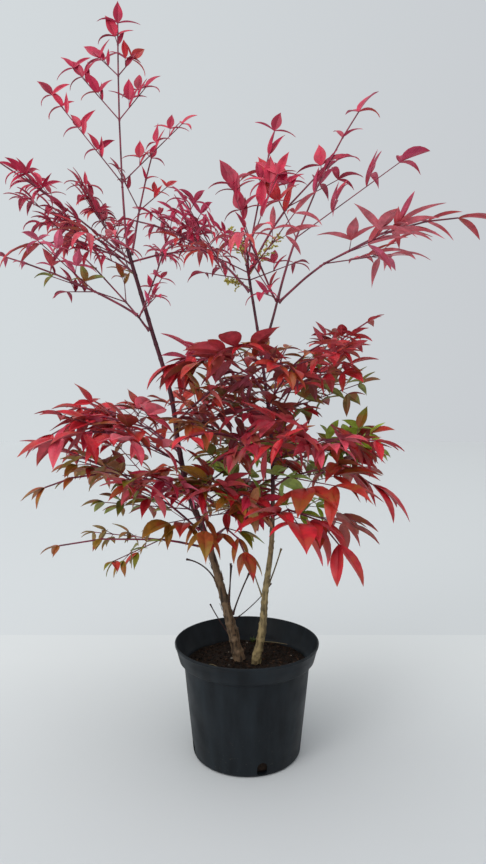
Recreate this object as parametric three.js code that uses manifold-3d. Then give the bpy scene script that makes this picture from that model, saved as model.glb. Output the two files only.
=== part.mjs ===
// Heavenly bamboo in a round nursery pot.
// Two bare canes rise from the growing medium, lean apart and carry compound leaves.
// Each compound leaf is a bare stalk and a leafy blade that branches by one seeded rule.
// Millimetres, +Z up, +X to the right, origin at the centre of the pot's flat underside.

import * as THREE from "three";
import * as BufferGeometryUtils from "three/addons/utils/BufferGeometryUtils.js";
import Module from "manifold-3d";

const wasm = await Module();
wasm.setup();

// ---- Driving dimensions ---------------------------------------------------------------

const GAP = 0.45; // left between parts that meet
const SLIVER = 0.15; // edges closer to the surface than this are merged away
const LEAST_GAP = 0.2; // a twig or leaflet that comes nearer to another part is skipped

const POT = {
  height: 146,
  rimRadius: 95,
  bandFootRadius: 89, // foot of the band below the rim
  bandHeight: 22,
  neckRadius: 83, // body just below the band
  neckDrop: 6, // height of the step from the band to the body
  baseRadius: 71,
  edgeRound: 5, // round between the body and the underside
  wall: 2,
  floor: 3,
  segments: 26,
};

const DRAIN = { count: 4, width: 13, height: 16, sill: 3, firstAngle: -75 };

const SOIL = { top: 119, rimFall: 2, mound: 1.2 };

// A cane passes through its stations: height above the underside, then x and y.
const CANES = [
  {
    name: "left_cane",
    stations: [
      [110, -8, 6], [119, -10.5, 6], [178, -25, 8], [280, -54, 10], [337, -77, 12],
      [397, -90, 13], [470, -101, 14], [555, -126, 15], [664, -158, 15],
    ],
    footRadius: 8,
    tipRadius: 2.3,
    flare: 0.3,
    colour: 0x6b4334,
  },
  {
    name: "right_cane",
    stations: [
      [110, 11, -7], [119, 12, -7], [165, 20.5, -9], [212, 24, -11], [280, 32, -14],
      [403, 32, -16], [471, 25, -17], [542, 15, -18], [634, 0, -18],
    ],
    footRadius: 6.4,
    tipRadius: 1.5,
    flare: 0.25,
    colour: 0x7b6a4a,
  },
];
const CANE_SIDES = 8;
const CANE_STEPS = 18;
const CANE_TAPER = 0.33; // share of its length over which a cane loses most of its foot's thickness
const FLARE_HEIGHT = 9;
const KNOT_SWELL = 0.1; // each old leaf scar swells the cane by this share
const KNOT_EVERY = 4; // steps from one old leaf scar to the next

// Cut-off leaf stalks that stay on the canes' lower part.
// Height on the cane, heading, rise, length, downward arch and radius.
const STUBS = [
  { on: "left_cane", height: 222, heading: 165, rise: 62, length: 52, arch: 58, radius: 1.2 },
  { on: "left_cane", height: 152, heading: 160, rise: 48, length: 46, arch: -12, radius: 0.9 },
  { on: "left_cane", height: 190, heading: -75, rise: 78, length: 58, arch: -6, radius: 1.1 },
  { on: "left_cane", height: 176, heading: -20, rise: 72, length: 62, arch: 8, radius: 1.2 },
  { on: "left_cane", height: 196, heading: 60, rise: 74, length: 44, arch: -8, radius: 1 },
  { on: "left_cane", height: 168, heading: 15, rise: 30, length: 70, arch: -22, radius: 0.8 },
  { on: "right_cane", height: 206, heading: 150, rise: 66, length: 52, arch: -4, radius: 1 },
  { on: "right_cane", height: 222, heading: 20, rise: 66, length: 50, arch: -6, radius: 1.1 },
  { on: "right_cane", height: 238, heading: 60, rise: 68, length: 42, arch: 0, radius: 1 },
];
const STUB_STEPS = 3;
const STUB_SIDES = 4;
const STUB_KNOB = 1.5; // the cut end is this much thicker than the stub

// Bare limbs that several blades share.
const SHARED_STALKS = [
  { name: "left_low_stalk", on: "left_cane", height: 556, heading: 205, rise: 52, length: 25, arch: 0,
    veer: 0, radius: 1.7, tipRadius: 1.4 },
  { name: "right_wide_stalk", on: "right_cane", height: 528, heading: -36, rise: 66, length: 64,
    arch: -8, veer: 0, radius: 1.9, tipRadius: 1.5 },
];

// Compound leaves. Each starts on a cane at a height, or on a shared stalk at a share of its
// length. heading and rise give its first direction in degrees, bare is the length of its
// leafless stalk and blade the length of its leafy axis. Over both together it arches down by
// arch and turns by veer. Its upper face leans from straight up by lean degrees towards face.
// sides gives the order of the side twigs from joint to joint, which leave it at angle, and
// leaflet is a leaflet's length. A blade with no bare stalk has a stem below its first joint.
// Leaflets on stalks stand up by a share of their angle to the upright, and the others sag.
// level is the share by which a spreading leaflet turns its upper face to the sky, roll how far
// the faces of side shoots turn either way, reach the length of the side twigs against the rule,
// and lop the share that one side's twigs are shorter.
const RED = 0xb32541;
const BRIGHT = 0xcf3f55;
const WINE = 0x8d2338;
const OLIVE = 0x8a5a30;
const GREEN = 0x6f8a36;
const SPREADING = { face: 0, lean: 0, angle: 50, stem: 6, stand: 0.62, sag: 0.04, level: 0.8, roll: 30 };
const CLAWED = { face: 0, lean: 0, angle: 48, stem: 6, stand: 0.3, sag: 0.12, level: 0.6, roll: 40 };
const ARCHING = { face: 0, lean: 0, angle: 42, stem: 6, stand: 0.1, sag: 0.2, level: 0.7, roll: 30 };
const REACHING = { face: 0, lean: 0, angle: 40, stem: 6, stand: 0.1, sag: 0, level: 0.8, roll: 20 };
const LAYERED = { face: 0, lean: 0, angle: 50, stem: 6, stand: 0.05, sag: 0.12, level: 0.5, roll: 45 };
const NODDING = { face: 0, lean: 0, angle: 44, stem: 6, stand: 0.1, sag: 0.18, level: 0.5, roll: 35 };
const TALL = [3, 2, 1, 0];
const FULL = [3, 1, -1];
const HALF = [2, 0, -1];
const SMALL = [1, -1];
const LARGE = [1, 0, -1];
const BROAD = [2, 1, -1];
const FEW = [0, -1];
const LEAVES = [
  // crown of the left cane
  { ...SPREADING, name: "left_top", on: "left_cane", height: 663, heading: 155, rise: 84, bare: 86,
    blade: 214, arch: -4, veer: -57, face: -80, lean: 70, sides: TALL, angle: 42, reach: 0.76,
    lop: 0.16, leaflet: 27, seed: 11, colour: RED },
  { ...SPREADING, name: "left_upright", on: "left_cane", height: 655, heading: 60, rise: 79, bare: 62,
    blade: 78, arch: 6, veer: -20, face: -60, lean: 55, sides: SMALL, angle: 32, leaflet: 22,
    seed: 112, colour: RED },
  { ...CLAWED, name: "left_sweep", on: "left_cane", height: 652, heading: 190, rise: 40, bare: 0,
    stem: 14, blade: 180, arch: 8, veer: 0, sides: FULL, face: -90, lean: 45, angle: 16, reach: 0.85,
    lop: 0.15, leaflet: 28, seed: 13, colour: RED },
  { ...ARCHING, name: "left_near", on: "left_cane", height: 644, heading: -150, rise: 36, bare: 0,
    stem: 10, blade: 108, arch: 54, veer: -8, sides: SMALL, leaflet: 60, seed: 14, colour: BRIGHT },
  { ...CLAWED, name: "left_inner", on: "left_cane", height: 646, heading: 36, rise: 24, bare: 0,
    stem: 34, blade: 84, arch: 16, veer: -20, sides: HALF, leaflet: 28, seed: 15, colour: RED },
  { ...CLAWED, name: "left_back", on: "left_cane", height: 634, heading: 176, rise: 54, bare: 0,
    blade: 112, arch: 34, veer: 0, sides: HALF, face: -90, lean: 20, angle: 34, leaflet: 28, seed: 16,
    colour: RED },
  // low leaf of the left cane, parted at its first joint
  { ...SPREADING, name: "left_low_sweep", on: "left_low_stalk", at: 1, heading: 190, rise: 30,
    bare: 60, blade: 120, arch: 14, veer: -8, sides: HALF, lop: 0.5, leaflet: 25, seed: 17,
    colour: RED },
  { ...SPREADING, name: "left_low_back", on: "left_low_stalk", at: 0.86, heading: 150, rise: 46,
    bare: 0, blade: 120, stem: 30, arch: 4, veer: 6, sides: SMALL, leaflet: 24, seed: 18,
    colour: OLIVE },
  { ...SPREADING, name: "left_low_inner", on: "left_low_stalk", at: 0.88, heading: -30, rise: 60,
    bare: 0, blade: 84, arch: -4, veer: -8, face: -90, lean: 20, sides: SMALL, leaflet: 22, seed: 19,
    colour: RED },
  // crown of the right cane
  { ...CLAWED, name: "right_inner", on: "right_cane", height: 601, heading: 176, rise: 54, bare: 58,
    blade: 118, arch: 44, veer: 4, sides: FULL, leaflet: 28, seed: 21, colour: RED },
  { ...SPREADING, name: "right_top", on: "right_cane", height: 633, heading: 30, rise: 79, bare: 30,
    blade: 150, arch: 4, veer: -4, face: -90, lean: 40, sides: HALF, angle: 18, reach: 0.7,
    leaflet: 34, seed: 62, colour: RED },
  { ...SPREADING, name: "right_upright", on: "right_cane", height: 626, heading: 24, rise: 66,
    bare: 104, blade: 106, arch: 30, veer: 4, sides: SMALL, angle: 38, reach: 0.8, leaflet: 34,
    seed: 23, colour: RED },
  { ...SPREADING, name: "right_back", on: "right_cane", height: 612, heading: 95, rise: 52, bare: 0,
    blade: 150, arch: 36, veer: 10, sides: LARGE, reach: 0.55, leaflet: 28, seed: 24, colour: RED },
  { ...ARCHING, name: "right_near", on: "right_cane", height: 618, heading: -95, rise: 48, bare: 0,
    blade: 120, arch: 70, veer: 0, sides: LARGE, leaflet: 44, seed: 25, colour: BRIGHT },
  // wide leaf of the right cane, parted at its first joint
  { ...SPREADING, name: "right_wide_inner", on: "right_wide_stalk", at: 0.96, heading: -128, rise: 50,
    bare: 0, blade: 92, arch: 0, veer: 0, face: -90, lean: 30, sides: SMALL, leaflet: 24, seed: 26,
    colour: RED },
  { ...SPREADING, name: "right_wide_upright", on: "right_wide_stalk", at: 1, heading: 11, rise: 76,
    bare: 80, blade: 186, arch: 20, veer: 6, face: -90, lean: 10, sides: HALF, angle: 42, reach: 0.85,
    leaflet: 38, seed: 27, colour: RED },
  { ...REACHING, name: "right_wide_sweep", on: "right_wide_stalk", at: 0.94, heading: -16, rise: 46,
    bare: 72, blade: 168, arch: 44, veer: 14, sides: HALF, angle: 32, reach: 0.85, leaflet: 54,
    seed: 28, colour: BRIGHT },
  // lower crown, left
  { ...LAYERED, name: "skirt_left_lowest", on: "left_cane", height: 268, heading: 202, rise: 20,
    bare: 62, blade: 128, arch: 32, veer: -16, sides: SMALL, stand: 0, sag: 0.3, leaflet: 26, seed: 71,
    colour: OLIVE },
  { ...LAYERED, name: "skirt_left_low", on: "left_cane", height: 292, heading: 190, rise: 46,
    bare: 48, blade: 180, arch: 30, veer: 4, sides: BROAD, leaflet: 36, seed: 32, colour: WINE },
  { ...LAYERED, name: "skirt_left_middle", on: "left_cane", height: 340, heading: -150, rise: 34,
    bare: 0, stem: 40, blade: 150, arch: 44, veer: 0, sides: LARGE, leaflet: 36, seed: 152,
    colour: OLIVE },
  { ...LAYERED, name: "skirt_left_high", on: "left_cane", height: 400, heading: 188, rise: 50,
    bare: 0, stem: 42, blade: 135, arch: 66, veer: -6, sides: LARGE, angle: 52, leaflet: 54,
    seed: 133, colour: BRIGHT },
  { ...NODDING, name: "skirt_left_near", on: "left_cane", height: 380, heading: -140, rise: 44,
    bare: 0, blade: 170, arch: 60, veer: 0, sides: LARGE, leaflet: 54, seed: 34, colour: BRIGHT },
  { ...LAYERED, name: "skirt_left_back", on: "left_cane", height: 396, heading: 150, rise: 40,
    bare: 0, blade: 170, arch: 40, veer: 0, sides: BROAD, leaflet: 37, seed: 35, colour: WINE },
  { ...LAYERED, name: "skirt_left_low_back", on: "left_cane", height: 316, heading: 150, rise: 30,
    bare: 0, blade: 150, arch: 30, veer: 0, sides: SMALL, leaflet: 38, seed: 36, colour: OLIVE },
  { ...NODDING, name: "skirt_left_foot", on: "left_cane", height: 300, heading: -84, rise: 42,
    bare: 0, stem: 20, blade: 64, arch: 60, veer: 0, sides: SMALL, leaflet: 50, seed: 53,
    colour: OLIVE },
  // lower crown, middle
  { ...NODDING, name: "skirt_top_near", on: "right_cane", height: 470, heading: 190, rise: 70,
    bare: 0, stem: 26, blade: 110, arch: 84, veer: 10, sides: BROAD, leaflet: 52, seed: 37,
    colour: BRIGHT },
  { ...LAYERED, name: "skirt_top_left", on: "left_cane", height: 436, heading: -8, rise: 50, bare: 0,
    blade: 140, arch: 34, veer: 0, sides: BROAD, leaflet: 34, seed: 187, colour: WINE },
  { ...LAYERED, name: "skirt_top_middle", on: "left_cane", height: 424, heading: 4, rise: 26, bare: 0,
    stem: 20, blade: 150, arch: 30, veer: 0, sides: BROAD, leaflet: 36, seed: 88, colour: WINE },
  { ...LAYERED, name: "skirt_top_right", on: "right_cane", height: 456, heading: -64, rise: 50,
    bare: 0, stem: 20, blade: 120, arch: 36, veer: 0, sides: BROAD, leaflet: 36, seed: 90,
    colour: WINE },
  { ...LAYERED, name: "skirt_middle_near", on: "right_cane", height: 384, heading: -140, rise: 40,
    bare: 0, blade: 150, arch: 50, veer: 20, sides: BROAD, leaflet: 38, seed: 38, colour: WINE },
  { ...LAYERED, name: "skirt_middle", on: "left_cane", height: 364, heading: 8, rise: 30, bare: 0,
    stem: 20, blade: 150, arch: 30, veer: 0, sides: BROAD, leaflet: 40, seed: 54, colour: OLIVE },
  { ...LAYERED, name: "skirt_middle_back", on: "left_cane", height: 334, heading: 34, rise: 40, bare: 0,
    stem: 20, blade: 150, arch: 30, veer: 0, sides: BROAD, leaflet: 38, seed: 55, colour: GREEN },
  { ...LAYERED, name: "skirt_low_near", on: "left_cane", height: 318, heading: -52, rise: 40, bare: 0,
    blade: 112, arch: 50, veer: 0, sides: BROAD, angle: 54, leaflet: 42, seed: 51, colour: BRIGHT },
  { ...LAYERED, name: "skirt_low_middle", on: "right_cane", height: 300, heading: -172, rise: 52,
    bare: 0, stem: 20, blade: 110, arch: 40, veer: 0, sides: BROAD, leaflet: 40, seed: 56,
    colour: OLIVE },
  { ...NODDING, name: "skirt_lowest_near", on: "left_cane", height: 278, heading: -56, rise: 54,
    bare: 0, stem: 44, blade: 50, arch: 60, veer: 0, sides: FEW, leaflet: 42, seed: 39,
    colour: OLIVE },
  // lower crown, right
  { ...LAYERED, name: "skirt_right_high", on: "right_cane", height: 448, heading: 10, rise: 54,
    bare: 0, stem: 26, blade: 150, arch: 20, veer: 0, sides: BROAD, leaflet: 30, seed: 41,
    colour: WINE },
  { ...LAYERED, name: "skirt_right_high_back", on: "right_cane", height: 420, heading: 66, rise: 48,
    bare: 0, stem: 36, blade: 100, arch: 10, veer: -8, sides: LARGE, leaflet: 32, seed: 42,
    colour: OLIVE },
  { ...LAYERED, name: "skirt_right_green", on: "right_cane", height: 362, heading: 34, rise: 38,
    bare: 52, blade: 116, arch: 52, veer: -10, sides: BROAD, leaflet: 36, seed: 43, colour: GREEN },
  { ...LAYERED, name: "skirt_right_middle", on: "right_cane", height: 384, heading: -36, rise: 36,
    bare: 0, stem: 20, blade: 120, arch: 40, veer: 10, sides: BROAD, leaflet: 42, seed: 57,
    colour: BRIGHT },
  { ...NODDING, name: "skirt_right_near", on: "right_cane", height: 352, heading: -14, rise: 44,
    bare: 0, stem: 20, blade: 112, arch: 70, veer: 0, sides: LARGE, leaflet: 66, seed: 44,
    colour: WINE },
  { ...NODDING, name: "skirt_right_low_near", on: "right_cane", height: 314, heading: -56, rise: 34,
    bare: 0, stem: 30, blade: 90, arch: 66, veer: 10, sides: SMALL, leaflet: 66, seed: 45,
    colour: WINE },
  { ...LAYERED, name: "skirt_back_high", on: "right_cane", height: 438, heading: 76, rise: 68,
    bare: 0, blade: 150, arch: 50, veer: 0, sides: BROAD, leaflet: 34, seed: 46, colour: OLIVE },
  { ...LAYERED, name: "skirt_back_low", on: "right_cane", height: 300, heading: 110, rise: 40, bare: 0,
    blade: 150, arch: 44, veer: 0, sides: LARGE, leaflet: 38, seed: 48, colour: GREEN },
];

// The branching rule.
const TWIG_ORDERS = [[], [-1], [-1, -1], [0, 0, -1]]; // side orders along a twig of order 0, 1, 2, 3
const INTERNODE_RATIO = 0.7; // each internode of a blade against the one before
const TWIG_INTERNODE_RATIO = 0.9;
const TRIO_ANGLE = 60; // of the two side leaflets at a blade's end
const SIDE_SHARES = [0.82, 0.8, 0.7, 0.6, 0.5]; // a side twig's length against what is left of its axis
const SHORT_STALK = 0.42; // the stalk of a leaflet that has one, against the leaflet's length
const END_LEAFLET = 0.95; // a leaflet on a stalk or at a shoot's end, against the leaflet's length
const SIDE_LEAFLET = 1.15; // a leaflet that sits on its twig
const ANGLE_SPREAD = 12;
const LIFT_SPREAD = 16;
const LENGTH_SPREAD = 0.16;
const STEM_LENGTH = 6; // what a blade keeps of its bare stalk
const AXIS_RADIUS = 1.4;
const AXIS_TAPER = 0.3; // share of its radius that an axis loses towards its end
const ROOT_RATIO = 0.42; // radius of a side shoot's root against its axis
const TWIG_SIDES = 3;
const STALK_SIDES = 4;
const STALK_STEPS = 3;
const STALK_RADIUS = 1.6;
const TIP_SHARE = 0.985; // what starts higher on a limb than this stands on the limb's end

const LEAFLET = {
  widthShare: 0.2, // half width against length
  depthShare: 0.022, // depth of the keel against length
  leastDepth: 0.8,
  widestAt: 0.42,
  sink: 0.6, // the root lies this far beyond the twig's axis
  droop: 24, // degrees that the tip hangs below the leaflet's first direction
};

const UP = new THREE.Vector3(0, 0, 1);
const DOWN = new THREE.Vector3(0, 0, -1);
const radians = THREE.MathUtils.degToRad;

// ---- Solids ---------------------------------------------------------------------------

function solidOf(geometry) {
  geometry.deleteAttribute("normal");
  geometry.deleteAttribute("uv");
  const closed = BufferGeometryUtils.mergeVertices(geometry, 1e-4);
  const mesh = new wasm.Mesh({
    numProp: 3,
    vertProperties: new Float32Array(closed.attributes.position.array),
    triVerts: new Uint32Array(closed.index.array),
  });
  return new wasm.Manifold(mesh);
}

function geometryOf(solid) {
  const mesh = solid.getMesh();
  const geometry = new THREE.BufferGeometry();
  geometry.setAttribute("position", new THREE.BufferAttribute(mesh.vertProperties, 3));
  geometry.setIndex(new THREE.BufferAttribute(mesh.triVerts, 1));
  geometry.computeVertexNormals();
  return geometry;
}

function largestBody(solid) {
  const bodies = solid.decompose();
  return bodies.reduce((best, body) => (body.volume() > best.volume() ? body : best));
}

function partMesh(name, geometry, colour, roughness) {
  const material = new THREE.MeshStandardMaterial({ color: colour, roughness, metalness: 0 });
  const mesh = new THREE.Mesh(geometry, material);
  mesh.name = name;
  return mesh;
}

// ---- Directions and paths --------------------------------------------------------------

function direction(heading, rise) {
  const flat = Math.cos(radians(rise));
  const x = flat * Math.cos(radians(heading));
  const y = flat * Math.sin(radians(heading));
  return new THREE.Vector3(x, y, Math.sin(radians(rise)));
}

function turned(vector, about, degrees) {
  return vector.clone().applyAxisAngle(about, radians(degrees));
}

function across(vector, along) {
  return vector.clone().addScaledVector(along, -vector.dot(along)).normalize();
}

function moved(point, along, distance) {
  return point.clone().addScaledVector(along, distance);
}

// A direction turned by a share of the angle between it and another.
function leant(vector, aim, share) {
  const about = vector.clone().cross(aim);
  if (about.length() < 0.02) {
    return vector.clone();
  }
  return vector.clone().applyAxisAngle(about.normalize(), vector.angleTo(aim) * share);
}

// A repeatable number from -1 to 1 for a seed and an index.
function scatter(seed, index) {
  const wave = Math.sin(seed * 12.9898 + index * 78.233) * 43758.5453;
  return 2 * (wave - Math.floor(wave)) - 1;
}

function childSeed(seed, index) {
  return (seed * 31 + index * 7 + 3) % 10007;
}

// A closed limb through points, with a half width and a half height at each point and its flat
// side towards face. A last size of zero brings the limb to a point.
function limbThrough(points, sizes, face, sides) {
  const last = points.length - 1;
  const pointed = sizes[last][0] === 0;
  const geometry = new THREE.CylinderGeometry(pointed ? 0 : 1, 1, 1, sides, last);
  const position = geometry.attributes.position;
  for (let i = 0; i < position.count; i += 1) {
    const step = Math.round((position.getY(i) + 0.5) * last);
    const ring = pointed && step < last ? 1 - step / last : 1;
    const before = points[Math.max(step - 1, 0)];
    const after = points[Math.min(step + 1, last)];
    const along = after.clone().sub(before).normalize();
    const normal = across(face, along);
    const side = normal.clone().cross(along);
    const place = moved(points[step], side, (position.getX(i) / ring) * sizes[step][0]);
    place.addScaledVector(normal, (-position.getZ(i) / ring) * sizes[step][1]);
    position.setXYZ(i, place.x, place.y, place.z);
  }
  return solidOf(geometry);
}

function roundSizes(radii) {
  return radii.map((radius) => [radius, radius]);
}

// ---- Pot and growing medium --------------------------------------------------------------

function potOutline() {
  const bandFoot = POT.height - POT.bandHeight;
  const neck = bandFoot - POT.neckDrop;
  const lip = 1;
  const outside = [
    [0, 0],
    [POT.baseRadius - POT.edgeRound, 0],
    [POT.baseRadius - POT.edgeRound * 0.3, POT.edgeRound * 0.3],
    [POT.baseRadius, POT.edgeRound],
    [POT.neckRadius, neck],
    [POT.neckRadius + (POT.bandFootRadius - POT.neckRadius) * 0.7, neck + POT.neckDrop * 0.45],
    [POT.bandFootRadius, bandFoot],
    [POT.rimRadius, POT.height - lip],
    [POT.rimRadius - lip, POT.height],
  ];
  const inside = [
    [POT.rimRadius - POT.wall, POT.height - lip],
    [POT.bandFootRadius - POT.wall, bandFoot],
    [POT.neckRadius - POT.wall, neck],
    [POT.baseRadius - POT.wall, POT.edgeRound + POT.floor],
    [POT.baseRadius - POT.wall - POT.edgeRound, POT.floor],
    [0, POT.floor],
  ];
  return outside.concat(inside).map(([radius, z]) => new THREE.Vector2(radius, z));
}

function turnedSolid(outline, segments) {
  const geometry = new THREE.LatheGeometry(outline, segments);
  geometry.rotateX(Math.PI / 2);
  return solidOf(geometry);
}

function drainOpening(index) {
  const depth = POT.edgeRound * 2 + POT.wall;
  const box = new THREE.BoxGeometry(depth, DRAIN.width, DRAIN.height);
  box.translate(POT.baseRadius, 0, DRAIN.sill + DRAIN.height / 2);
  box.rotateZ(radians(DRAIN.firstAngle + (360 / DRAIN.count) * index));
  return solidOf(box);
}

function makePot() {
  let pot = turnedSolid(potOutline(), POT.segments);
  for (let index = 0; index < DRAIN.count; index += 1) {
    pot = pot.subtract(drainOpening(index));
  }
  return pot;
}

function makeSoil() {
  const neck = POT.height - POT.bandHeight - POT.neckDrop;
  const room = POT.wall + GAP;
  const foot = POT.edgeRound + POT.floor;
  const slope = (POT.neckRadius - POT.baseRadius) / (neck - POT.edgeRound);
  const edgeTop = SOIL.top - SOIL.rimFall;
  const edgeRadius = POT.baseRadius - room - GAP + slope * (Math.min(edgeTop, neck) - foot);
  const outline = [
    [0, POT.floor + GAP],
    [POT.baseRadius - room - POT.edgeRound - GAP, POT.floor + GAP],
    [POT.baseRadius - room - GAP, foot + GAP],
    [edgeRadius, edgeTop],
    [edgeRadius - 12, SOIL.top - SOIL.mound],
    [34, SOIL.top],
    [0, SOIL.top],
  ];
  return turnedSolid(outline.map(([radius, z]) => new THREE.Vector2(radius, z)), POT.segments);
}

// ---- Canes ---------------------------------------------------------------------------------

function caneCurve(cane) {
  return new THREE.CatmullRomCurve3(cane.stations.map(([z, x, y]) => new THREE.Vector3(x, y, z)));
}

function caneRadius(cane, share, height) {
  const aboveGround = Math.max(height - SOIL.top, 0);
  const flare = 1 + cane.flare * Math.exp(-aboveGround / FLARE_HEIGHT);
  const slender = Math.exp(-share / CANE_TAPER);
  return flare * (cane.tipRadius + (cane.footRadius - cane.tipRadius) * slender);
}

function makeCane(cane) {
  const curve = caneCurve(cane);
  const points = curve.getSpacedPoints(CANE_STEPS);
  const radii = points.map((point, step) => {
    const swell = step % KNOT_EVERY === 0 ? 1 + KNOT_SWELL : 1;
    return caneRadius(cane, step / CANE_STEPS, point.z) * swell;
  });
  const limb = { curve, radiusAt: (share) => caneRadius(cane, share, curve.getPointAt(share).z) };
  const stubs = STUBS.filter((stub) => stub.on === cane.name).map((stub) => makeStub(limb, stub));
  const whole = limbThrough(points, roundSizes(radii), new THREE.Vector3(0, -1, 0), CANE_SIDES);
  const ground = new THREE.BoxGeometry(POT.rimRadius, POT.rimRadius, SOIL.top);
  ground.translate(0, 0, SOIL.top / 2 + GAP);
  limb.solid = wasm.Manifold.union([whole, ...stubs]).subtract(solidOf(ground));
  return limb;
}

function shareAtHeight(limb, height) {
  let low = 0;
  let high = 1;
  for (let pass = 0; pass < 24; pass += 1) {
    const middle = (low + high) / 2;
    if (limb.curve.getPointAt(middle).z < height) {
      low = middle;
    } else {
      high = middle;
    }
  }
  return low;
}

function bentPath(start, spec, from, to, steps) {
  const points = [start.clone()];
  const whole = (spec.bare ?? spec.length) + (spec.blade ?? 0);
  for (let step = 0; step < steps; step += 1) {
    const distance = from + ((to - from) * (step + 0.5)) / steps;
    const share = distance / whole;
    const along = direction(spec.heading + (spec.veer ?? 0) * share, spec.rise - spec.arch * share);
    points.push(moved(points[step], along, (to - from) / steps));
  }
  return points;
}

function makeStub(limb, stub) {
  const start = limb.curve.getPointAt(shareAtHeight(limb, stub.height));
  const points = bentPath(start, stub, 0, stub.length + limb.radiusAt(0.2), STUB_STEPS);
  const radii = points.map((point, step) => stub.radius * (step === STUB_STEPS ? STUB_KNOB : 1));
  return limbThrough(points, roundSizes(radii), UP.clone().add(direction(stub.heading, 0)), STUB_SIDES);
}

// ---- Stalks ---------------------------------------------------------------------------------

// Where a limb of a given radius starts, so that it clears its carrier by the gap.
function startOn(carrier, spec, radius) {
  const share = spec.height === undefined ? spec.at : shareAtHeight(carrier, spec.height);
  const along = direction(spec.heading, spec.rise);
  const axis = carrier.curve.getTangentAt(share);
  const slant = along.dot(axis);
  if (share > TIP_SHARE) {
    const tip = carrier.curve.getPointAt(1);
    return moved(tip, axis, GAP + radius * Math.sqrt(1 - slant * slant));
  }
  const point = carrier.curve.getPointAt(share);
  const outward = across(along, axis);
  return moved(point, outward, carrier.radiusAt(share) + GAP + radius * Math.abs(slant));
}

function makeStalk(points, radius, tipRadius) {
  const last = points.length - 1;
  const radii = points.map((point, step) => THREE.MathUtils.lerp(radius, tipRadius, step / last));
  const face = UP.clone().add(new THREE.Vector3(0.3, -0.4, 0));
  const curve = new THREE.CatmullRomCurve3(points);
  return {
    curve,
    radiusAt: (share) => THREE.MathUtils.lerp(radius, tipRadius, share),
    solid: limbThrough(points, roundSizes(radii), face, STALK_SIDES),
  };
}

// ---- Blades -----------------------------------------------------------------------------------

function internodes(length, count, ratio) {
  const shares = Array.from({ length: count }, (_, step) => ratio ** step);
  const sum = shares.reduce((total, share) => total + share, 0);
  return shares.map((share) => (length * share) / sum);
}

// Sizes along an axis of a given radius, from its root to the root of its end leaflet.
function axisSizes(points, radius) {
  const last = points.length - 1;
  return roundSizes(points.map((_, step) => radius * (1 - (AXIS_TAPER * step) / last)));
}

// A leaflet's widest place and its tip, for a root with a short stalk or none.
function leafletShape(root, along, length, stalk) {
  const hanging = moved(along, UP, -Math.tan(radians(LEAFLET.droop))).normalize();
  const middle = moved(root, along, stalk + LEAFLET.widestAt * length);
  return {
    middle,
    tip: moved(middle, hanging, (1 - LEAFLET.widestAt) * length),
    halfWidth: LEAFLET.widthShare * length,
    depth: Math.max(LEAFLET.depthShare * length, LEAFLET.leastDepth),
  };
}

// A leaflet of six faces: a sunk root, a tip, two edges and a keel below.
function leafletSolid(root, along, face, length, stalk) {
  const shape = leafletShape(root, along, length, stalk);
  const normal = across(face, along);
  const side = normal.clone().cross(along);
  const geometry = new THREE.SphereGeometry(1, 3, 2);
  const position = geometry.attributes.position;
  for (let i = 0; i < position.count; i += 1) {
    let place = moved(shape.middle, side, Math.sign(position.getZ(i)) * shape.halfWidth);
    if (position.getY(i) > 0.5) {
      place = shape.tip;
    } else if (position.getY(i) < -0.5) {
      place = moved(root, along, -LEAFLET.sink);
    } else if (position.getX(i) < -0.5) {
      place = moved(shape.middle, normal, -shape.depth);
    }
    position.setXYZ(i, place.x, place.y, place.z);
  }
  return solidOf(geometry);
}

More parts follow.
